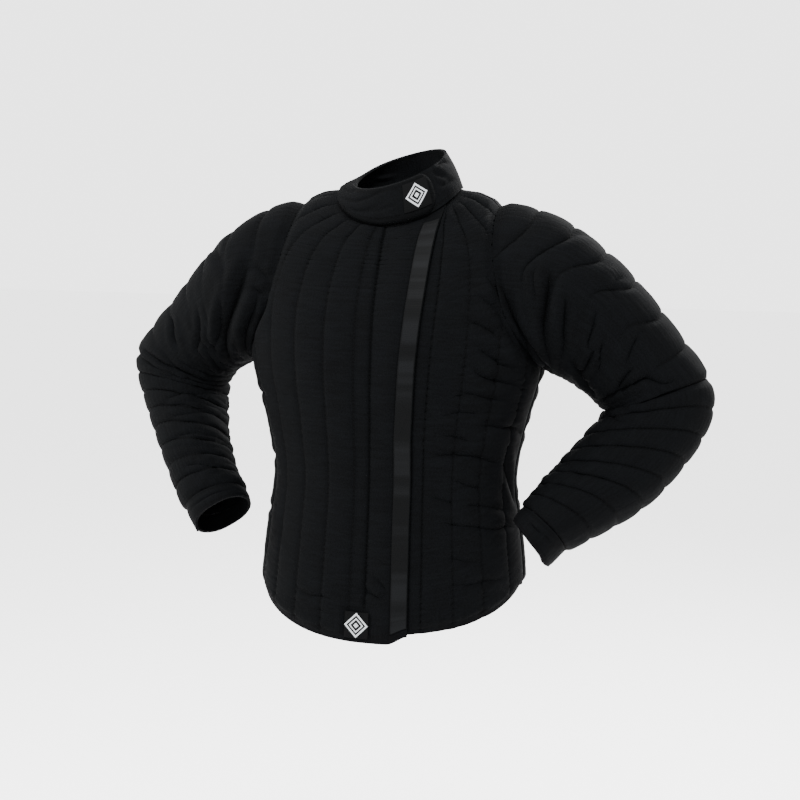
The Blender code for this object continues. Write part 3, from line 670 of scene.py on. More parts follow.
def lay_cloth(name, points, full, wall, thin, weave, stitch, slot, flip=False):
    """Makes a piece from rows of points. Its wall goes from thin, where full is 0, to wall.
    flip turns it over, where the points run the other way round."""
    wide, long, area = cut_of(points)
    rows, columns = points.shape[:2]
    full = np.broadcast_to(full, (rows, columns))
    if flip:
        points, full, weave, stitch = (a[:, ::-1] for a in (points, full, weave, stitch))
    bpy.ops.object.select_all(action="DESELECT")
    bpy.ops.mesh.primitive_grid_add(x_subdivisions=columns - 1, y_subdivisions=rows - 1, size=1)
    piece = bpy.context.object
    piece.name = name
    mesh = piece.data
    flat = np.empty(len(mesh.vertices) * 3)
    mesh.vertices.foreach_get("co", flat)
    flat = flat.reshape(-1, 3)
    c = np.rint((flat[:, 0] + 0.5) * (columns - 1)).astype(int)
    r = np.rint((flat[:, 1] + 0.5) * (rows - 1)).astype(int)
    mesh.vertices.foreach_set("co", points[r, c].astype(np.float32).ravel())
    corner = np.empty(len(mesh.loops), int)
    mesh.loops.foreach_get("vertex_index", corner)
    while mesh.uv_layers:
        mesh.uv_layers.remove(mesh.uv_layers[0])
    for label, values in (("weave", weave), ("stitch", stitch)):
        layer = mesh.uv_layers.new(name=label)
        layer.data.foreach_set("uv", values[r, c][corner].astype(np.float32).ravel())
    group = piece.vertex_groups.new(name="full")
    levels = np.rint(np.clip(full, 0, 1)[r, c] * LEVELS).astype(int)
    for level in np.unique(levels):
        group.add(np.nonzero(levels == level)[0].tolist(), level / LEVELS, "REPLACE")
    bpy.ops.object.mode_set(mode="EDIT")
    bpy.ops.mesh.select_all(action="SELECT")
    bpy.ops.mesh.remove_doubles(threshold=MERGE)
    bpy.ops.object.mode_set(mode="OBJECT")
    solid = piece.modifiers.new("wall", "SOLIDIFY")
    solid.thickness = wall
    solid.offset = 1
    solid.vertex_group = "full"
    solid.thickness_vertex_group = thin / wall
    bpy.ops.object.modifier_apply(modifier="wall")
    bpy.ops.object.shade_smooth_by_angle(angle=SMOOTH_TO)
    mesh.materials.append(FINISHES[slot])
    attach(piece, "root")
    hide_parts(name)
    print(name, "triangles:", sum(len(f.vertices) - 2 for f in mesh.polygons))
    print(name, "flat cut", wide, "by", long, "area", area)
    area = max(min(area, wide * long), LEAST_FILL * wide * long)


# %% [markdown]
# Folds are placed one by one, as a pressing hand would: each row of a table is a soft trough with a
# low ridge on either side, from one place on the cloth to another. Its depth dies away at both ends
# and its line wavers a little. Under them a faint ripple keeps any stretch from being dead even,
# and small gathers stand across the sewn lines.

# %% Folds and ripples
GATHER = 0.0085
GATHER_REACH = 0.007


def folds(across, along, table):
    """Depth of the folds at each point. Columns: across and along of one end and of the other,
    half width, depth, bow to one side. All in metres, as in_metres gives them."""
    depth = np.zeros(across.shape)
    for k, (a0, b0, a1, b1, width, deep, bow) in enumerate(table):
        da = a1 - a0
        db = b1 - b0
        length = math.hypot(da, db)
        t = ((across - a0) * da + (along - b0) * db) / length**2
        off = ((along - b0) * da - (across - a0) * db) / length
        off = off - bow * (1 - (2 * t - 1) ** 2) - 0.22 * width * np.sin(7.3 * t + 2.1 * k)
        ends = smooth(t, -0.18, 0.32) * (1 - smooth(t, 0.6, 1.2))
        trough = np.exp(-((off / width) ** 2))
        ridge = np.exp(-(((np.abs(off) - 1.9 * width) / (0.9 * width)) ** 2))
        depth += deep * ends * (trough - 0.3 * ridge)
    return depth


def in_metres(table, across, along, wider=1.0, deeper=1.0):
    """A table of folds with its places, given in the form's own measures, and its sizes, given in
    millimetres, all in metres."""
    return [
        (a * across, b * along, c * across, d * along, wider * (w / 1000), deeper * (h / 1000), bow / 1000)
        for a, b, c, d, w, h, bow in table
    ]


def ripple(across, along, seed, wide, long):
    """An even-handed unevenness between -1 and 1, of a given width and length."""
    chance = np.random.default_rng(seed)
    total = np.zeros(across.shape)
    for _ in range(7):
        a, b = chance.normal(0, 1, 2)
        total += np.sin(2 * math.pi * (a * across / wide + b * along / long) + chance.uniform(0, 6.3))
    return total / 7


def pucker(distance, run, seed):
    """Small gathers across a sewn line, strongest beside it. Uneven beats keep them apart."""
    beat = np.sin(2 * math.pi * run / GATHER + 2.2 * np.sin(run * 61 + seed))
    patchy = 0.5 + 0.5 * np.sin(run * 23 + seed * 1.7) * np.sin(run * 7.1 + seed)
    return beat * patchy * np.exp(-distance / GATHER_REACH)


def shadow(depth):
    """A made-up distance to a sewn line, small at the bottom of a deep fold, so that the finish
    paints shade there as it paints shade in a crease.
    """
    return 0.0009 + 0.0030 * (1 - smooth(depth, 0.0014, 0.0046))


def crown(part):
    """Height of a filled channel across it, 0 on its lines and nearly level in the middle."""
    return np.sqrt(np.clip(1 - np.abs(1 - 2 * part) ** 2.6, 0, 1))


# %% [markdown]
# The torso is three pieces: the right front, which laps over; the left front under it; and the
# back. Long channels run from hem to neck. The columns of each sheet fall exactly on the sewn lines,
# so a line stays sharp. Where the armhole cuts a panel its points stop on the cut.

# %% Torso sizes
RIGHT_LINES = (-1.0, -0.915, -0.75, -0.585, -0.42, -0.25, -0.085, 0.0)
LEFT_LINES = (0.0, 0.09, 0.31, 0.53, 0.77, 1.0)
BACK_CHANNELS = 10
# In q: a front stops this much short of the side, the back goes this much past it, and both stop
# this much short of the armhole.
SEAM = 0.0006
SEAM_LAP = 0.0018
CUT_GAP = 0.0008
# Edge of the lap: z and x in mm.
LAP_EDGE = (
    (-630, 60),
    (-450, 57),
    (-340, 57),
    (-240, 62),
    (-150, 69),
    (-50, 74),
    (10, 76),
)
LAP_LIFT = 0.0034
# The under panel ends a little before this x.
UNDER_EDGE_X = 0.045
TAPE_WIDTH = 0.0225
TAPE_COLUMNS = 7
TAPE_WALL = 0.0016
TAPE_EDGE_WALL = 0.0008
TAPE_LIFT = 0.0004
TAPE_ENDS = (0.022, 0.935)
# The turned-under end: where it fades out, and the line that is sewn across it.
TAPE_TAB = (0.014, 0.017)
TAPE_TAB_SEAM = 0.015
LEFT_HEM_RISE = 0.020
LAP_CORNER_RISE = 0.016
# The hem patch: from and to across, from and to up the panel.
HEM_PATCH = (-0.105, 0.030, 0.010, 0.070)
HEM_PATCH_LIFT = 0.0019
HEM_STITCH = 0.017
# Filling of a channel just beside its lines, and where the panel is pressed flat.
SUNK = 0.60
PRESSED = 0.25
# A channel narrower than this, in q, is filled less.
FULL_CHANNEL = 0.14
# Metres for one q round and for the whole of v.
ROUND = 0.27
UP = 0.56
STEP = 0.0034 / fine
FOLDS_WIDER = 1.3
FOLDS_DEEPER = 1.65
# Rows from hem to neck: even ones, one on the hem's stitching, one just under the neck, and closer
# ones along a part of the armhole.
rows = np.linspace(0, 1, int(214 * fine) + 1)
rows = np.unique(np.concatenate([rows, [HEM_STITCH, 0.994], np.linspace(0.60, 0.68, int(50 * fine))]))
# Folds: q and v of one end and of the other, then half width, depth and bow in mm.
TORSO_FOLDS = (
    (0.455, 0.459, 0.73, 0.443, 3.2, 2.6, 2),
    (0.6, 0.401, 0.96, 0.377, 4.2, 3.6, 3),
    (0.32, 0.352, 0.8, 0.327, 3.6, 3.2, 4),
    (0.47, 0.307, 0.69, 0.285, 2.8, 2, -1),
    (0.475, 0.112, 0.76, 0.08, 3.6, 2.8, 3),
    (0.6, 0.67, 0.8, 0.535, 5.2, 6.2, 4),
    (0.555, 0.63, 0.78, 0.515, 4.2, 5.2, 3),
    (0.645, 0.625, 0.96, 0.52, 5.8, 7.2, 4),
    (0.69, 0.69, 0.9, 0.56, 4.4, 5.6, 3),
    (0.48, 0.585, 0.64, 0.56, 3, 2.8, 2),
    (0.5, 0.505, 0.7, 0.48, 3, 2.4, -2),
    (0.38, 0.42, 0.6, 0.424, 2.8, 2.2, 1),
    (0.36, 0.275, 0.52, 0.262, 2.6, 2, 1),
    (0.62, 0.205, 0.9, 0.18, 3.2, 2.6, 2),
    (0.4, 0.385, 0.56, 0.372, 2.6, 2, 1),
    (0.51, 0.54, 0.77, 0.5, 4, 3.2, -2),
    (0.415, 0.23, 0.74, 0.199, 3.4, 2.4, 2),
    (0.56, 0.262, 0.85, 0.226, 3, 2.2, 0),
    (0.435, 0.167, 0.64, 0.14, 2.8, 1.8, 1),
    (0.535, 0.489, 0.81, 0.468, 3.4, 2.6, 2),
    (0.82, 0.345, 0.99, 0.23, 6, 3.2, -3),
    (-0.035, 0.112, 0.145, 0.095, 3.2, 2.4, 2),
    (-0.4, 0.086, -0.18, 0.09, 3.4, 2.4, -1),
    (0.045, 0.143, 0.14, 0.112, 2.6, 1.8, 0),
    (-0.76, 0.33, -0.98, 0.3, 4, 2.4, 2),
    (-0.7, 0.44, -0.96, 0.425, 3.6, 2, -2),
    (-0.8, 0.2, -0.98, 0.19, 4, 2.2, 2),
    (-0.64, 0.61, -0.9, 0.52, 6, 4, 4),
    (1.04, 0.52, 1.33, 0.6, 6, 4.8, 4),
    (1.03, 0.47, 1.38, 0.5, 4.8, 3.6, -3),
    (1.05, 0.38, 1.4, 0.365, 4.2, 3.6, 3),
    (1.12, 0.335, 1.52, 0.33, 4, 3, -3),
    (1.3, 0.29, 1.72, 0.3, 4, 2.6, 3),
    (1.06, 0.23, 1.3, 0.245, 3.6, 2.4, 2),
    (2.96, 0.52, 2.64, 0.59, 6, 4.6, -4),
    (2.96, 0.43, 2.6, 0.445, 4.6, 3.4, 3),
    (2.94, 0.36, 2.5, 0.345, 4.2, 3.4, -3),
    (2.7, 0.305, 2.25, 0.3, 3.8, 2.6, 3),
    (1.9, 0.335, 2.2, 0.345, 4.2, 2.6, 2),
    (1.55, 0.12, 1.85, 0.11, 4, 2.2, 2),
    (2.3, 0.15, 2.65, 0.165, 4, 2.2, -2),
)
TORSO_FOLDS_M = in_metres(TORSO_FOLDS, ROUND, UP, FOLDS_WIDER, FOLDS_DEEPER)
print("torso folds:", len(TORSO_FOLDS))


# %% Torso helpers
def lap_q(rows):
    """How far round the lap's edge lies at each row."""
    edge = np.array(LAP_EDGE) / 1000
    s = np.linspace(0, 1, 161)
    found = []
    for one in rows:
        p = torso(s, one)
        found.append(np.interp(0, p[:, 0] - np.interp(p[:, 2], edge[:, 0], edge[:, 1]), s))
    return np.array(found)


def q_at_x(x, rows):
    s = np.linspace(0, 1, 161)
    return np.array([np.interp(x, torso(s, one)[:, 0], s) for one in rows])


def armhole_q(rows, behind):
    """How far round the panel goes at each row before the armhole cuts it."""
    s = np.linspace(2, 1, 400) if behind else np.linspace(0, 1, 400)
    found = []
    for one in rows:
        p = torso(s, one)
        gap = p[:, 0] - armhole_x(p[:, 2])
        k = int(np.argmax(gap > 0))
        if gap[k] <= 0:
            found.append(s[-1])
            continue
        t = gap[k - 1] / (gap[k - 1] - gap[k])
        found.append(s[k - 1] * (1 - t) + s[k] * t)
    return np.array(found)


def channels(lines, step):
    """Columns between the sewn lines, their height there, and the distance to the nearest."""
    at = [lines[0]]
    height = [0.0]
    gap = [0.0]
    for low, high in zip(lines[:-1], lines[1:]):
        count = max(2, int(round((high - low) * ROUND / step)))
        wide = min(1.0, (high - low) / FULL_CHANNEL)
        for k in range(1, count + 1):
            t = k / count
            at.append(low + (high - low) * t)
            height.append((SUNK + (1 - SUNK) * float(crown(np.array(t)))) * wide)
            gap.append(min(t, 1 - t) * (high - low) * ROUND)
    height[-1] = 0.0
    return np.array(at), np.array(height), np.array(gap)


def quilting(full, points, rows):
    """The channels' height, dying away at hem, neck and armhole."""
    ends = smooth(rows, 0, 0.03) * smooth(1 - rows, 0.004, 0.075)
    clear = armhole_x(points[..., 2]) - np.abs(points[..., 0])
    return full * ends[:, None] * (0.1 + 0.9 * smooth(clear, 0, 0.014))


def box_mask(q, v, box, soft):
    """1 in a box, 0 out of it, with soft edges."""
    across = smooth(q, box[0] - soft, box[0]) * (1 - smooth(q, box[1], box[1] + soft))
    up = smooth(v, box[2] - soft, box[2]) * (1 - smooth(v, box[3], box[3] + soft))
    return across * up


def shape_panel(q, v, gap, lift, seed, still, rough=1.0):
    """Points of a torso panel with its folds, and its two maps. still is 1 where it lies flat."""
    across = q * ROUND
    along = v * UP
    base = torso(np.where(q > 2, q - 4, q), v)
    normal = torso_normal(np.where(q > 2, q - 4, q), v)
    depth = folds(across, along, TORSO_FOLDS_M) * (1 - still)
    soft = 0.0007 * ripple(across, along, seed, 0.11, 0.07)
    soft = soft + 0.00055 * rough * ripple(across, along, seed + 1, 0.05, 0.016)
    gather = 0.00105 * rough * pucker(gap, along, seed)
    ends = smooth(v, 0, 0.02) * smooth(1 - v, 0.0, 0.03)
    side = np.minimum(np.abs(np.abs(q) - 1), np.abs(q - 3))
    clear = armhole_x(base[..., 2]) - np.abs(base[..., 0])
    ends = ends * smooth(side, 0, 0.06) * (0.3 + 0.7 * smooth(clear, 0, 0.012))
    out = lift - depth * ends + (soft + gather) * ends * (1 - still)
    points = base + normal * out[..., None]
    hem = np.abs(v - HEM_STITCH) * UP
    # Deep folds get a small seam distance, so the finish paints shade at their bottoms.
    seam = np.minimum(np.minimum(gap, hem), shadow(depth))
    weave = np.stack([across, along], -1)
    run = np.where(gap <= hem, along, across)
    return points, normal, weave, np.stack([seam, run], -1)


tall = rows[:, None]
lap = lap_q(rows)[:, None]
under_edge = q_at_x(UNDER_EDGE_X, rows)[:, None] - 0.012
front_cut = armhole_q(rows, False)
front_stop = np.minimum(front_cut - CUT_GAP, 1 - SEAM)[:, None]
back_stop = np.maximum(armhole_q(rows, True) + CUT_GAP, 1 - SEAM_LAP)[:, None]
print("rows:", len(rows), "first cut by the armhole at v", round(rows[front_cut < 0.999][0], 3))

# %% Left front
share, height, gap = channels(LEFT_LINES, STEP)
# Two more columns carry it on under the lap.
share = np.concatenate([[-0.2, -0.1], share])
height = np.concatenate([[0, 0], height])
gap = np.concatenate([[0.01, 0.006], gap])
q = np.where(share < 0, 0, share) * (1 - SEAM - lap) + lap
q = np.where(share < 0, lap + share * (lap - under_edge) * 5, q)
q = np.minimum(q, front_stop)
rise = LEFT_HEM_RISE * (1 - smooth(q, 0.25, 0.95)) * (1 - smooth(tall, 0, 0.16))
still = 1 - smooth(q, lap - 0.02, lap + 0.05)
points, _, weave, stitch = shape_panel(q, tall + rise, gap, 0.0, 3, still, 1.7)
full = quilting(height, points, rows)
lay_cloth(
    "left_front", points, full, CROWN_WALL, STITCH_WALL, weave, stitch, "quilted_cloth"
)

# %% Right front
share, height, gap = channels(RIGHT_LINES, STEP)
share[0] = -1 + SEAM
# Past the centre come a channel beside the tape and flat cloth under the tape.
beyond = torso(lap + 0.01, tall) - torso(lap - 0.01, tall)
inner = lap - TAPE_WIDTH / (np.linalg.norm(beyond, axis=-1) / 0.02)
beside = np.linspace(0, 1, int(14 * fine) + 1)[1:]
under = np.linspace(0, 1, TAPE_COLUMNS)[1:]
q = np.repeat(share[None], len(rows), 0)
q = np.concatenate([q, inner * beside, inner + (lap - inner) * under], 1)
height = np.concatenate([height, 0.55 * crown(beside), np.full(len(under), 0.12)])
gap = np.concatenate([gap, np.minimum(beside, 1 - beside) * 0.034, np.full(len(under), 0.006)])
q = np.maximum(q, -front_stop)
corner = smooth(q, inner - 0.02, lap) * (1 - smooth(tall, 0, 0.09))
v = tall + LAP_CORNER_RISE * corner
patch = box_mask(q, v, HEM_PATCH, 0.02)
lift = LAP_LIFT * smooth(q, 0.0, np.maximum(under_edge - 0.03, 0.02))
taping = smooth(q, inner - 0.03, inner)
points, normal, weave, stitch = shape_panel(q, v, gap, lift, 8, np.maximum(patch, 0.9 * taping))
full = quilting(height, points, rows)
full = np.where(q > inner - 0.001, PRESSED * smooth(1 - tall, 0.004, 0.05), full)
full = full * (1 - patch) + PRESSED * patch
lay_cloth(
    "right_front", points, full, CROWN_WALL, STITCH_WALL, weave, stitch, "quilted_cloth"
)

# %% [markdown]
# The tape follows the lap edge, so it takes that panel's own points and stands a hair off them. Its
# ends are turned under, which leaves a short thicker tab there.

# %% Closing tape
keep = (rows >= TAPE_ENDS[0] - 0.001) & (rows <= TAPE_ENDS[1])
below, way, filled = (a[keep][:, -TAPE_COLUMNS:] for a in (points, normal, full))
level = STITCH_WALL + filled * (CROWN_WALL - STITCH_WALL) + TAPE_LIFT
strip = below + way * level[..., None]
# The outer edge is drawn in, off the edge of the lap.
strip[:, -1] += unit(strip[:, 0] - strip[:, -1]) * 0.0010
run = tall[keep] * UP
ends = np.minimum(run - run[0], run[-1] - run)
thick = 0.75 + 0.25 * (1 - smooth(ends, *TAPE_TAB))
width = np.linspace(0, TAPE_WIDTH, TAPE_COLUMNS)
# The seam map holds the distance to the tape's long edges and to the sewn line across each tab; the finish
# darkens the edges as painted shade.
near = np.minimum(np.minimum(width, TAPE_WIDTH - width), np.abs(ends - TAPE_TAB_SEAM) + 0.0004)
weave = np.stack(np.broadcast_arrays(width[None], run), -1)
stitch = np.stack(np.broadcast_arrays(near, run), -1)
lay_cloth(
    "closure_tape", strip, thick, TAPE_WALL, TAPE_EDGE_WALL, weave, stitch, "smooth_tape"
)

# %% [markdown]
# A patch is a small square of points laid on the form and moved out, clear of the cloth below. Its
# maps are measured from its middle, where the diamond is.

# %% Hem patch
PATCH_WALL = 0.0014
PATCH_EDGE_WALL = 0.0009
PATCH_ROUNDING = 0.0015


def patch_places(left, right, bottom, top):
    side = np.linspace(0, 1, int(20 * fine) + 1)
    return np.meshgrid(left + side * (right - left), bottom + side * (top - bottom))


def lay_patch(name, points):
    wide, long, _ = cut_of(points)
    rows, columns = points.shape[:2]
    across = np.linspace(-wide / 2, wide / 2, columns)
    a, b = np.meshgrid(across, np.linspace(-long / 2, long / 2, rows))
    edge = np.minimum(wide / 2 - np.abs(a), long / 2 - np.abs(b))
    full = smooth(edge, 0, PATCH_ROUNDING)
    weave = np.stack([a, b], -1)
    stitch = np.stack([edge, a + b], -1)
    lay_cloth(name, points, full, PATCH_WALL, PATCH_EDGE_WALL, weave, stitch, "patch_cloth")


q, v = patch_places(*HEM_PATCH)
rise = STITCH_WALL + PRESSED * (CROWN_WALL - STITCH_WALL) + HEM_PATCH_LIFT
rise = rise + LAP_LIFT * smooth(q, 0.0, 0.10)
lay_patch("hem_patch", torso(q, v) + torso_normal(q, v) * rise[..., None])

# %% [markdown]
# The back is one panel from side to side, with ten even channels. It laps over the edges of the
# fronts by a hair, which keeps light out of the side seams.

# %% Back
lines = np.linspace(1 - SEAM_LAP, 3 + SEAM_LAP, BACK_CHANNELS + 1)
share, height, gap = channels(lines, STEP * 1.15)
q = np.clip(share, back_stop, 4 - back_stop)
points, _, weave, stitch = shape_panel(q, tall * np.ones(q.shape), gap, 0.0, 15, 0.0)
full = quilting(height, points, rows)
lay_cloth("back", points, full, CROWN_WALL, STITCH_WALL, weave, stitch, "quilted_cloth")

# %% [markdown]
# Each sleeve is an upper and a lower tube, quilted across, and a plain cuff. The upper arm bears the
# deepest folds, where spare cloth is pushed together under the arm and in the bend of the elbow. A
# tube is a sheet whose last column falls on its first, and the two are merged.

# %% Sleeve sizes
AROUND = int(60 * fine) * 2
ARM_STEP = 0.0034 / fine
ROUND_ARM = 0.070
ALONG_ARM = 0.052
UPPER_CHANNELS = 7
LOWER_CHANNELS = 8
# Filling beside the lines, as on the torso.
SUNK_ARM = 0.25
# Rough length of each part, and the thickest wall of its padding.
ARM_LENGTH = {"upper": 0.32, "lower": 0.24}
ARM_WALL = {"upper": CROWN_WALL * 0.9, "lower": CROWN_WALL * 0.8}
# How far the upper lines are drawn toward the shoulder, and where they fade out, from the inner side
# of the arm at 0 to the outer at 1.
SLANT = {"left": 0.95, "right": 0.15}
FADE = {"left": (0.40, 0.80), "right": (0.62, 0.95)}
ARM_DEEPER = 1.3
CUFF_DEEPER = 0.8
CUFF_WALL = 0.0046
CUFF_EDGE_WALL = 0.0026
# The cuff's girth as a share of the sleeve's.
CUFF_GIRTH = 0.7
# How far the cuff's outer edge is drawn out in a point.
CUFF_POINT = {"left": 0.003, "right": 0.007}
# Folds: place along and angle of one end and of the other, then half width, depth and bow in mm.
ARM_FOLDS = {
    "left": (
        (-0.95, 80, -0.25, 132, 6, 6.5, 6),
        (-0.95, 104, 0.35, 155, 7, 9, 6),
        (-0.6, 96, 0.05, 138, 5, 5, 4),
        (-0.66, 86, -0.62, 160, 9, 8, 2),
        (0.4, 66, 0.37, 134, 8.5, 10.5, 5),
        (0.74, 82, 0.98, 124, 5.6, 8, -3),
        (0.03, 66, 0.02, 97, 4.5, 3.8, 2),
        (1.7, 78, 1.87, 108, 4.5, 6, 3),
        (2, 100, 1.93, 138, 5.5, 6.4, -4),
        (2.17, 90, 2.5, 117, 4, 4.6, 3),
        (1.37, 128, 3.1, 146, 6, 6, 6),
        (3.5, 150, 4.05, 78, 6, 9.5, -6),
        (3.43, 120, 3.36, 88, 4.5, 5.2, 2),
        (4.03, 84, 4.52, 66, 4.5, 4.8, 3),
        (1.95, 25, 1.88, 58, 5, 2.6, 3),
        (0.97, 5, 0.53, 40, 5.5, 2.4, 4),
        (5.5, 150, 6.35, 112, 4.5, 3, 2),
        (2.9, 60, 3.2, 96, 4.5, 3.2, 3),
        (10.35, 112, 10.25, 34, 3, 2.4, 2),
        (-0.7, 262, 0.35, 215, 7, 8.5, -5),
        (0.4, 290, 0.6, 228, 6, 7, 5),
        (1.5, 275, 1.85, 230, 5.5, 6, -4),
        (2.6, 270, 2.4, 222, 5, 5, 4),
        (3.6, 212, 4.4, 280, 6, 7, 5),
        (6.2, 230, 5.6, 196, 4.5, 3.4, 2),
    ),
    "right": (
        (-0.1, 74, 1.9, 150, 11, 12, 10),
        (-0.6, 104, 0.5, 172, 9, 10, 6),
        (0.57, 88, 2, 128, 6, 6.2, 6),
        (-0.25, 72, -0.95, 88, 4, 3.4, 3),
        (-0.25, 88, -0.95, 104, 4, 3.4, 3),
        (1.93, 90, 3, 110, 5, 3.6, 4),
        (3.2, 52, 3.55, 90, 5, 3.4, 4),
        (4.62, 52, 4.5, 182, 6.2, 8, 5),
        (4.2, 86, 4.3, 160, 5, 5, -4),
        (1.5, 20, 0.6, 70, 7, 3.6, 6),
        (2.6, 130, 3.5, 165, 6, 6.4, 5),
        (5.4, 92, 5.3, 172, 4.6, 4.8, 3),
        (6.9, 88, 5.95, 172, 4, 3.2, 3),
        (7.55, 84, 6.95, 172, 3.6, 2.6, -2),
        (8.15, 78, 8.05, 162, 3.6, 2.6, 3),
        (9.05, 78, 9.45, 152, 3.4, 2.2, 3),
        (10.4, 40, 10.45, 150, 3.4, 2, 2),
        (-0.6, 262, 0.6, 205, 8, 9, -6),
        (0.7, 282, 1.2, 215, 6.5, 7, 5),
        (2.1, 275, 2.3, 215, 5.5, 5, -4),
        (3.5, 205, 4.45, 285, 6, 7.2, 5),
        (6.6, 240, 6.1, 190, 4.5, 3.4, 3),
    ),
}


# %% Sleeve helpers
def arm_folds(name, at, angle):
    table = [(a, math.radians(b), c, math.radians(d), *rest) for a, b, c, d, *rest in ARM_FOLDS[name]]
    return folds(at * ALONG_ARM, angle * ROUND_ARM, in_metres(table, ALONG_ARM, ROUND_ARM))


def arm_places(name, low, high, count, loop):
    """Places along the sleeve, evenly spaced on its outer side, and its length there."""
    at = np.linspace(low, high, 241)
    outer = np.array([arm_surface(name, one, AROUND, loop)[0] for one in at])
    run = run_along(outer)
    return np.interp(np.linspace(0, run[-1], count), run, at), run[-1]


def tube(name, low, high, count, loop, mirror, slant=0.0):
    """Points of a stretch of sleeve, the way out from its middle line, places, angle, length.
    slant draws the lines toward the shoulder on the front and back, dying out by the elbow."""
    rows_at, length = arm_places(name, low, high, count, loop)
    angle = np.linspace(0, 2 * math.pi, AROUND + 1)[None] * np.ones((count, 1))
    at = rows_at[:, None] * np.ones(angle.shape)
    pull = slant * smooth((1 - np.cos(angle)) / 2, 0.0, 0.36) * (1 - smooth(at, 2.2, 4.7))
    at = np.maximum(at - pull, low)
    steps = 360
    dense = np.linspace(low, high, steps + 1)
    rings = np.array([arm_surface(name, one, AROUND, loop) for one in dense]) * mirror
    middles = rings.mean(1)
    place = (at - low) / (high - low) * steps
    k = np.clip(place.astype(int), 0, steps - 1)
    t = (place - k)[..., None]
    column = np.arange(AROUND + 1) % AROUND
    points = rings[k, column] * (1 - t) + rings[k + 1, column] * t
    middle = middles[k] * (1 - t) + middles[k + 1] * t
    return points, unit(points - middle), at, angle, length


def closed(push, angle):
    """Brings the last columns to the first, so that the tube meets itself."""
    near = smooth(angle, 1.75 * math.pi, 2 * math.pi)
    return push * (1 - near) + push[:, :1] * near


def sleeve(name, side, label, low, high, count, loop):
    """One part of a sleeve, quilted across in count channels."""
    per = max(4, int(round(ARM_LENGTH[label] / count / ARM_STEP)))
    slant = SLANT[name] if label == "upper" else 0.0
    points, out, at, angle, length = tube(
        name, low, high, count * per + 1, loop, np.array([side, 1, 1]), slant
    )
    phase = np.linspace(0, count, count * per + 1)[:, None] * np.ones(at.shape)
    part = phase - np.floor(phase + 1e-9)
    outward = (1 + np.cos(angle)) / 2
    line = 0.12 + 0.88 * smooth(outward, *FADE[name]) if label == "upper" else np.ones(at.shape)
    height = (SUNK_ARM + (1 - SUNK_ARM) * crown(part)) * line + (1 - line) * 0.62
    gap = np.minimum(part, 1 - part) * (length / count) + (1 - line) * 0.006
    run = angle * ROUND_ARM
    along = (phase / count) * length
    deep = ARM_DEEPER * arm_folds(name, at, angle)
    # Deep folds get a small seam distance, so the finish paints shade at their bottoms; the gathers below
    # read it too.
    gap = np.minimum(gap, shadow(deep))
    ends = smooth(at - low, 0, 0.26) * smooth(high - at, 0, 0.20)
    height = height * (0.15 + 0.85 * smooth(at - low, 0, 0.26))
    height = height * (0.3 + 0.7 * smooth(high - at, 0, 0.17))
    seed = 31 + 7 * side + (5 if label == "upper" else 0)
    wavy = 0.0011 * ripple(along, run, seed, 0.10, 0.09)
    inner_side = 1 - smooth(outward, 0.25, 0.75)
    wavy = wavy + (0.0006 + 0.0018 * inner_side) * ripple(along, run, seed + 1, 0.030, 0.05)
    gather = 0.0008 * pucker(gap, run, seed)
    push = closed(-deep * (0.2 + 0.8 * ends) + (wavy + gather) * ends, angle)
    points = points + out * push[..., None]
    lay_cloth(
        f"{name}_{label}_sleeve",
        points,
        height,
        ARM_WALL[label],
        STITCH_WALL,
        np.stack([run, along], -1),
        np.stack([gap, run], -1),
        "quilted_cloth",
        flip=side < 0,
    )


# %% Sleeves and cuffs
loop = armhole_loop(AROUND)
for name, side in (("left", 1), ("right", -1)):
    sleeve(name, side, "upper", -0.99, ELBOW_AT - 0.01, UPPER_CHANNELS, loop)
    sleeve(name, side, "lower", ELBOW_AT + 0.01, CUFF_AT - 0.01, LOWER_CHANNELS, loop)
    count = int(12 * fine) + 1
    points, out, at, angle, length = tube(
        name, CUFF_AT + 0.01, len(ARM_RAILS[name]) - 1, count, loop, np.array([side, 1, 1])
    )
    share = np.linspace(0, 1, count)[:, None] * np.ones(at.shape)
    height = np.sin(np.pi * np.clip(share, 0.04, 0.93)) ** 0.5
    run = angle * ROUND_ARM * CUFF_GIRTH
    push = -arm_folds(name, at, angle) * CUFF_DEEPER
    push = push + 0.0006 * ripple(share * length, run, 60 + side, 0.03, 0.05)
    points = points + out * closed(push, angle)[..., None]
    down = unit(points[-1].mean(0) - points[0].mean(0))
    point = np.exp(-(((angle - math.radians(18)) / 0.30) ** 2)) * CUFF_POINT[name]
    points = points + down * (point * share**3)[..., None]
    edge = np.minimum(np.abs(share - 0.12), np.abs(share - 0.82)) * length
    lay_cloth(
        f"{name}_cuff",
        points,
        height,
        CUFF_WALL,
        CUFF_EDGE_WALL,
        np.stack([run, share * length], -1),
        np.stack([edge, run], -1),
        "collar_cloth",
        flip=side < 0,
    )

# %% [markdown]
# The collar stands on the neck edge and leans in to a smaller ring at its top, which is higher behind
# and on the wearer's left. The throat tab is a padded strap with round ends that lies over its
# front, stitched twice along its edge, and the small patch lies on the tab.

# %% Collar sizes and form
COLLAR_WALL = 0.0040
COLLAR_EDGE_WALL = 0.0030
# Top edge of the collar: half width, front y, back y, z of the middle, rise to back, rise to left.
COLLAR_TOP = (0.0600, -0.0600, 0.0620, 0.0240, 0.0250, 0.0165)
# Sewn lines, as shares of the height.
COLLAR_LINES = (0.10, 0.88)
# Angles and heights: the patch, and the flat place on the tab round it.
COLLAR_PATCH = (19.0, 45.0, 0.19, 0.84)
UNDER_PATCH = (17, 47, 0.15, 0.88)
COLLAR_PATCH_LIFT = 0.0058
TAB_WALL = 0.0044
TAB_EDGE_WALL = 0.0020
TAB_LIFT = 0.0010
TAB_ANGLES = (-78.0, 51.0)
TAB_HEIGHT = (0.015, 0.96)
# Sewn lines of the tab, in from its edge.
TAB_LINES = (0.0030, 0.0072)
# Metres for a degree round the collar and for its whole height.
DEGREE = 0.00108
TALL = 0.050
COLLAR_DEEPER = 1.3


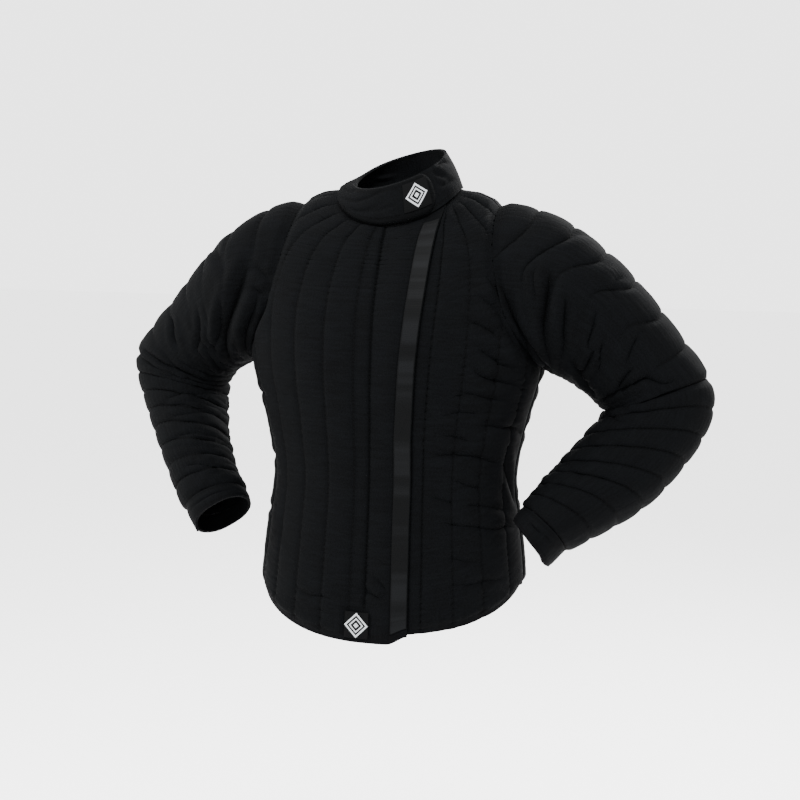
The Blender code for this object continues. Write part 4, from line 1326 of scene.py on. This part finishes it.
def neck_angle(q):
    """Angle round the neck edge, 0 in front, 90 at the wearer's left."""
    ring = torso(q, 1.0)
    return np.degrees(np.arctan2(ring[..., 0] / 0.085, -ring[..., 1] / 0.066))


def collar_base(angle):
    angle = (np.asarray(angle, float) + 180) % 360 - 180
    s = np.linspace(-2, 2, 1601)
    seen = neck_angle(s)
    seen[0] = -180
    seen[-1] = 180
    q = np.interp(angle, seen, s)
    over = smooth(q, -0.06, 0.12) * (1 - smooth(q, lap[-1] + 0.03, lap[-1] + 0.30))
    rise = STITCH_WALL - 0.0002 + LAP_LIFT * over
    return torso(q, 1.0) + torso_normal(q, np.full(q.shape, 0.998)) * rise[..., None]


def collar_form(angle, height):
    angle, height = np.broadcast_arrays(np.asarray(angle, float), np.asarray(height, float))
    half, front, rear, middle, back_rise, left_rise = COLLAR_TOP
    c = np.cos(np.radians(angle))
    s = np.sin(np.radians(angle))
    y = np.where(c > 0, front * c, -rear * c)
    top = np.stack([half * s, y, middle - back_rise * c + left_rise * s], -1)
    base = collar_base(angle)
    bow = 0.0022 * np.sin(np.pi * np.clip(height, 0, 1))
    return base + (top - base) * height[..., None] + np.stack([s, -c, 0 * s], -1) * bow[..., None]


def collar_normal(angle, height):
    across = collar_form(angle + 0.6, height) - collar_form(angle - 0.6, height)
    up = collar_form(angle, height + 0.02) - collar_form(angle, height - 0.02)
    return unit(np.cross(across, up))


# Folds: angle and height of one end and of the other, then half width, depth and bow in mm.
COLLAR_FOLDS = (
    (56, 0.86, 74, 0.52, 3.4, 2.6, 1),
    (58, 0.52, 82, 0.36, 3.2, 2.2, -1),
    (66, 0.98, 92, 0.78, 3, 2, 1),
    (120, 0.3, 150, 0.62, 4, 2.4, 2),
    (200, 0.34, 235, 0.5, 4, 2.2, -2),
    (262, 0.7, 282, 0.3, 3.6, 2.4, 2),
)
TAB_FOLDS = (
    (-58, 0.3, -18, 0.66, 3, 2.4, 1),
    (-46, 0.18, 0, 0.52, 2.8, 2.4, -1),
    (-26, 0.22, 12, 0.44, 2.6, 2, 1),
    (-66, 0.56, -40, 0.82, 2.8, 2.2, 0),
    (-30, 0.6, 4, 0.86, 2.6, 1.8, 1),
    (-60, 0.1, -20, 0.13, 2, 1.8, 0),
    (-16, 0.12, 30, 0.12, 2, 1.8, 0),
)


def collar_folds(angle, height, table):
    table = in_metres(table, DEGREE, TALL)
    return COLLAR_DEEPER * folds(angle * DEGREE, height * TALL, table)


# %% Collar
turn = np.linspace(0, 360, int(90 * fine) * 2 + 1)
tall = np.unique(np.concatenate([np.linspace(0, 1, int(16 * fine) + 1), COLLAR_LINES]))
angle, height = np.meshgrid(turn, tall)
points = collar_form(angle, height)
points[:, -1] = points[:, 0]
way = collar_normal(angle, height)
deep = collar_folds(angle, height, COLLAR_FOLDS) * smooth(height, 0, 0.2)
soft = 0.0005 * ripple(angle * DEGREE, height * TALL, 71, 0.06, 0.05) * smooth(height, 0, 0.2)
close = smooth(angle, 0, 8) * smooth(360 - angle, 0, 8)
covered = 1 - smooth(angle, 52, 60) + smooth(angle, 270, 278)
points = points + way * ((soft - deep) * close * (1 - covered))[..., None]
edge = np.minimum(*(np.abs(height - line) for line in COLLAR_LINES)) * TALL
weave = np.stack([angle * DEGREE, height * TALL], -1)
stitch = np.stack([edge, angle * DEGREE], -1)
full = 0.7 + 0.3 * np.sin(np.pi * height)
lay_cloth(
    "collar", points, full, COLLAR_WALL, COLLAR_EDGE_WALL, weave, stitch, "collar_cloth"
)

# %% Throat tab
tall = np.linspace(0, 1, int(26 * fine) + 1)
low, high = TAB_ANGLES
round_off = np.clip((np.abs(2 * tall - 1) - 0.16) / 0.84, 0, 1)
cut_in = 1 - np.sqrt(1 - round_off**2 * 0.96)
across = np.linspace(0, 1, int(70 * fine) + 1)
start = (low + 22 * cut_in)[:, None]
stop = (high - 14 * cut_in)[:, None]
angle = start + (stop - start) * across
height = (TAB_HEIGHT[0] + (TAB_HEIGHT[1] - TAB_HEIGHT[0]) * tall)[:, None] * np.ones(angle.shape)
way = collar_normal(angle, height)
points = collar_form(angle, height) + way * (COLLAR_WALL + TAB_LIFT)
away = np.minimum((angle - start) * DEGREE, (stop - angle) * DEGREE)
away = np.minimum(away, np.minimum(tall, 1 - tall)[:, None] * TALL)
full = smooth(away, 0, 0.0035)
deep = collar_folds(angle, height, TAB_FOLDS)
bent = 1 - box_mask(angle, height, UNDER_PATCH, 4)
full = full - (deep / 0.0040) * bent * smooth(away, 0.002, 0.006)
seam = np.minimum(*(np.abs(away - line) for line in TAB_LINES))
# The tab's folds get a small seam distance, so the finish paints shade at their bottoms.
seam = np.minimum(seam, shadow(1.6 * deep * bent))
weave = np.stack([angle * DEGREE, height * TALL], -1)
stitch = np.stack([seam, angle * DEGREE + height * TALL], -1)
lay_cloth(
    "throat_tab", points, full, TAB_WALL, TAB_EDGE_WALL, weave, stitch, "collar_cloth"
)

# %% Collar patch
angle, height = patch_places(*COLLAR_PATCH)
way = collar_normal(angle, height)
points = collar_form(angle, height) + way * (COLLAR_WALL + COLLAR_PATCH_LIFT)
lay_patch("collar_patch", points)

# %% Sizes and finish
low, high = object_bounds()
print("visual box", [round(c, 3) for c in low], [round(c, 3) for c in high])
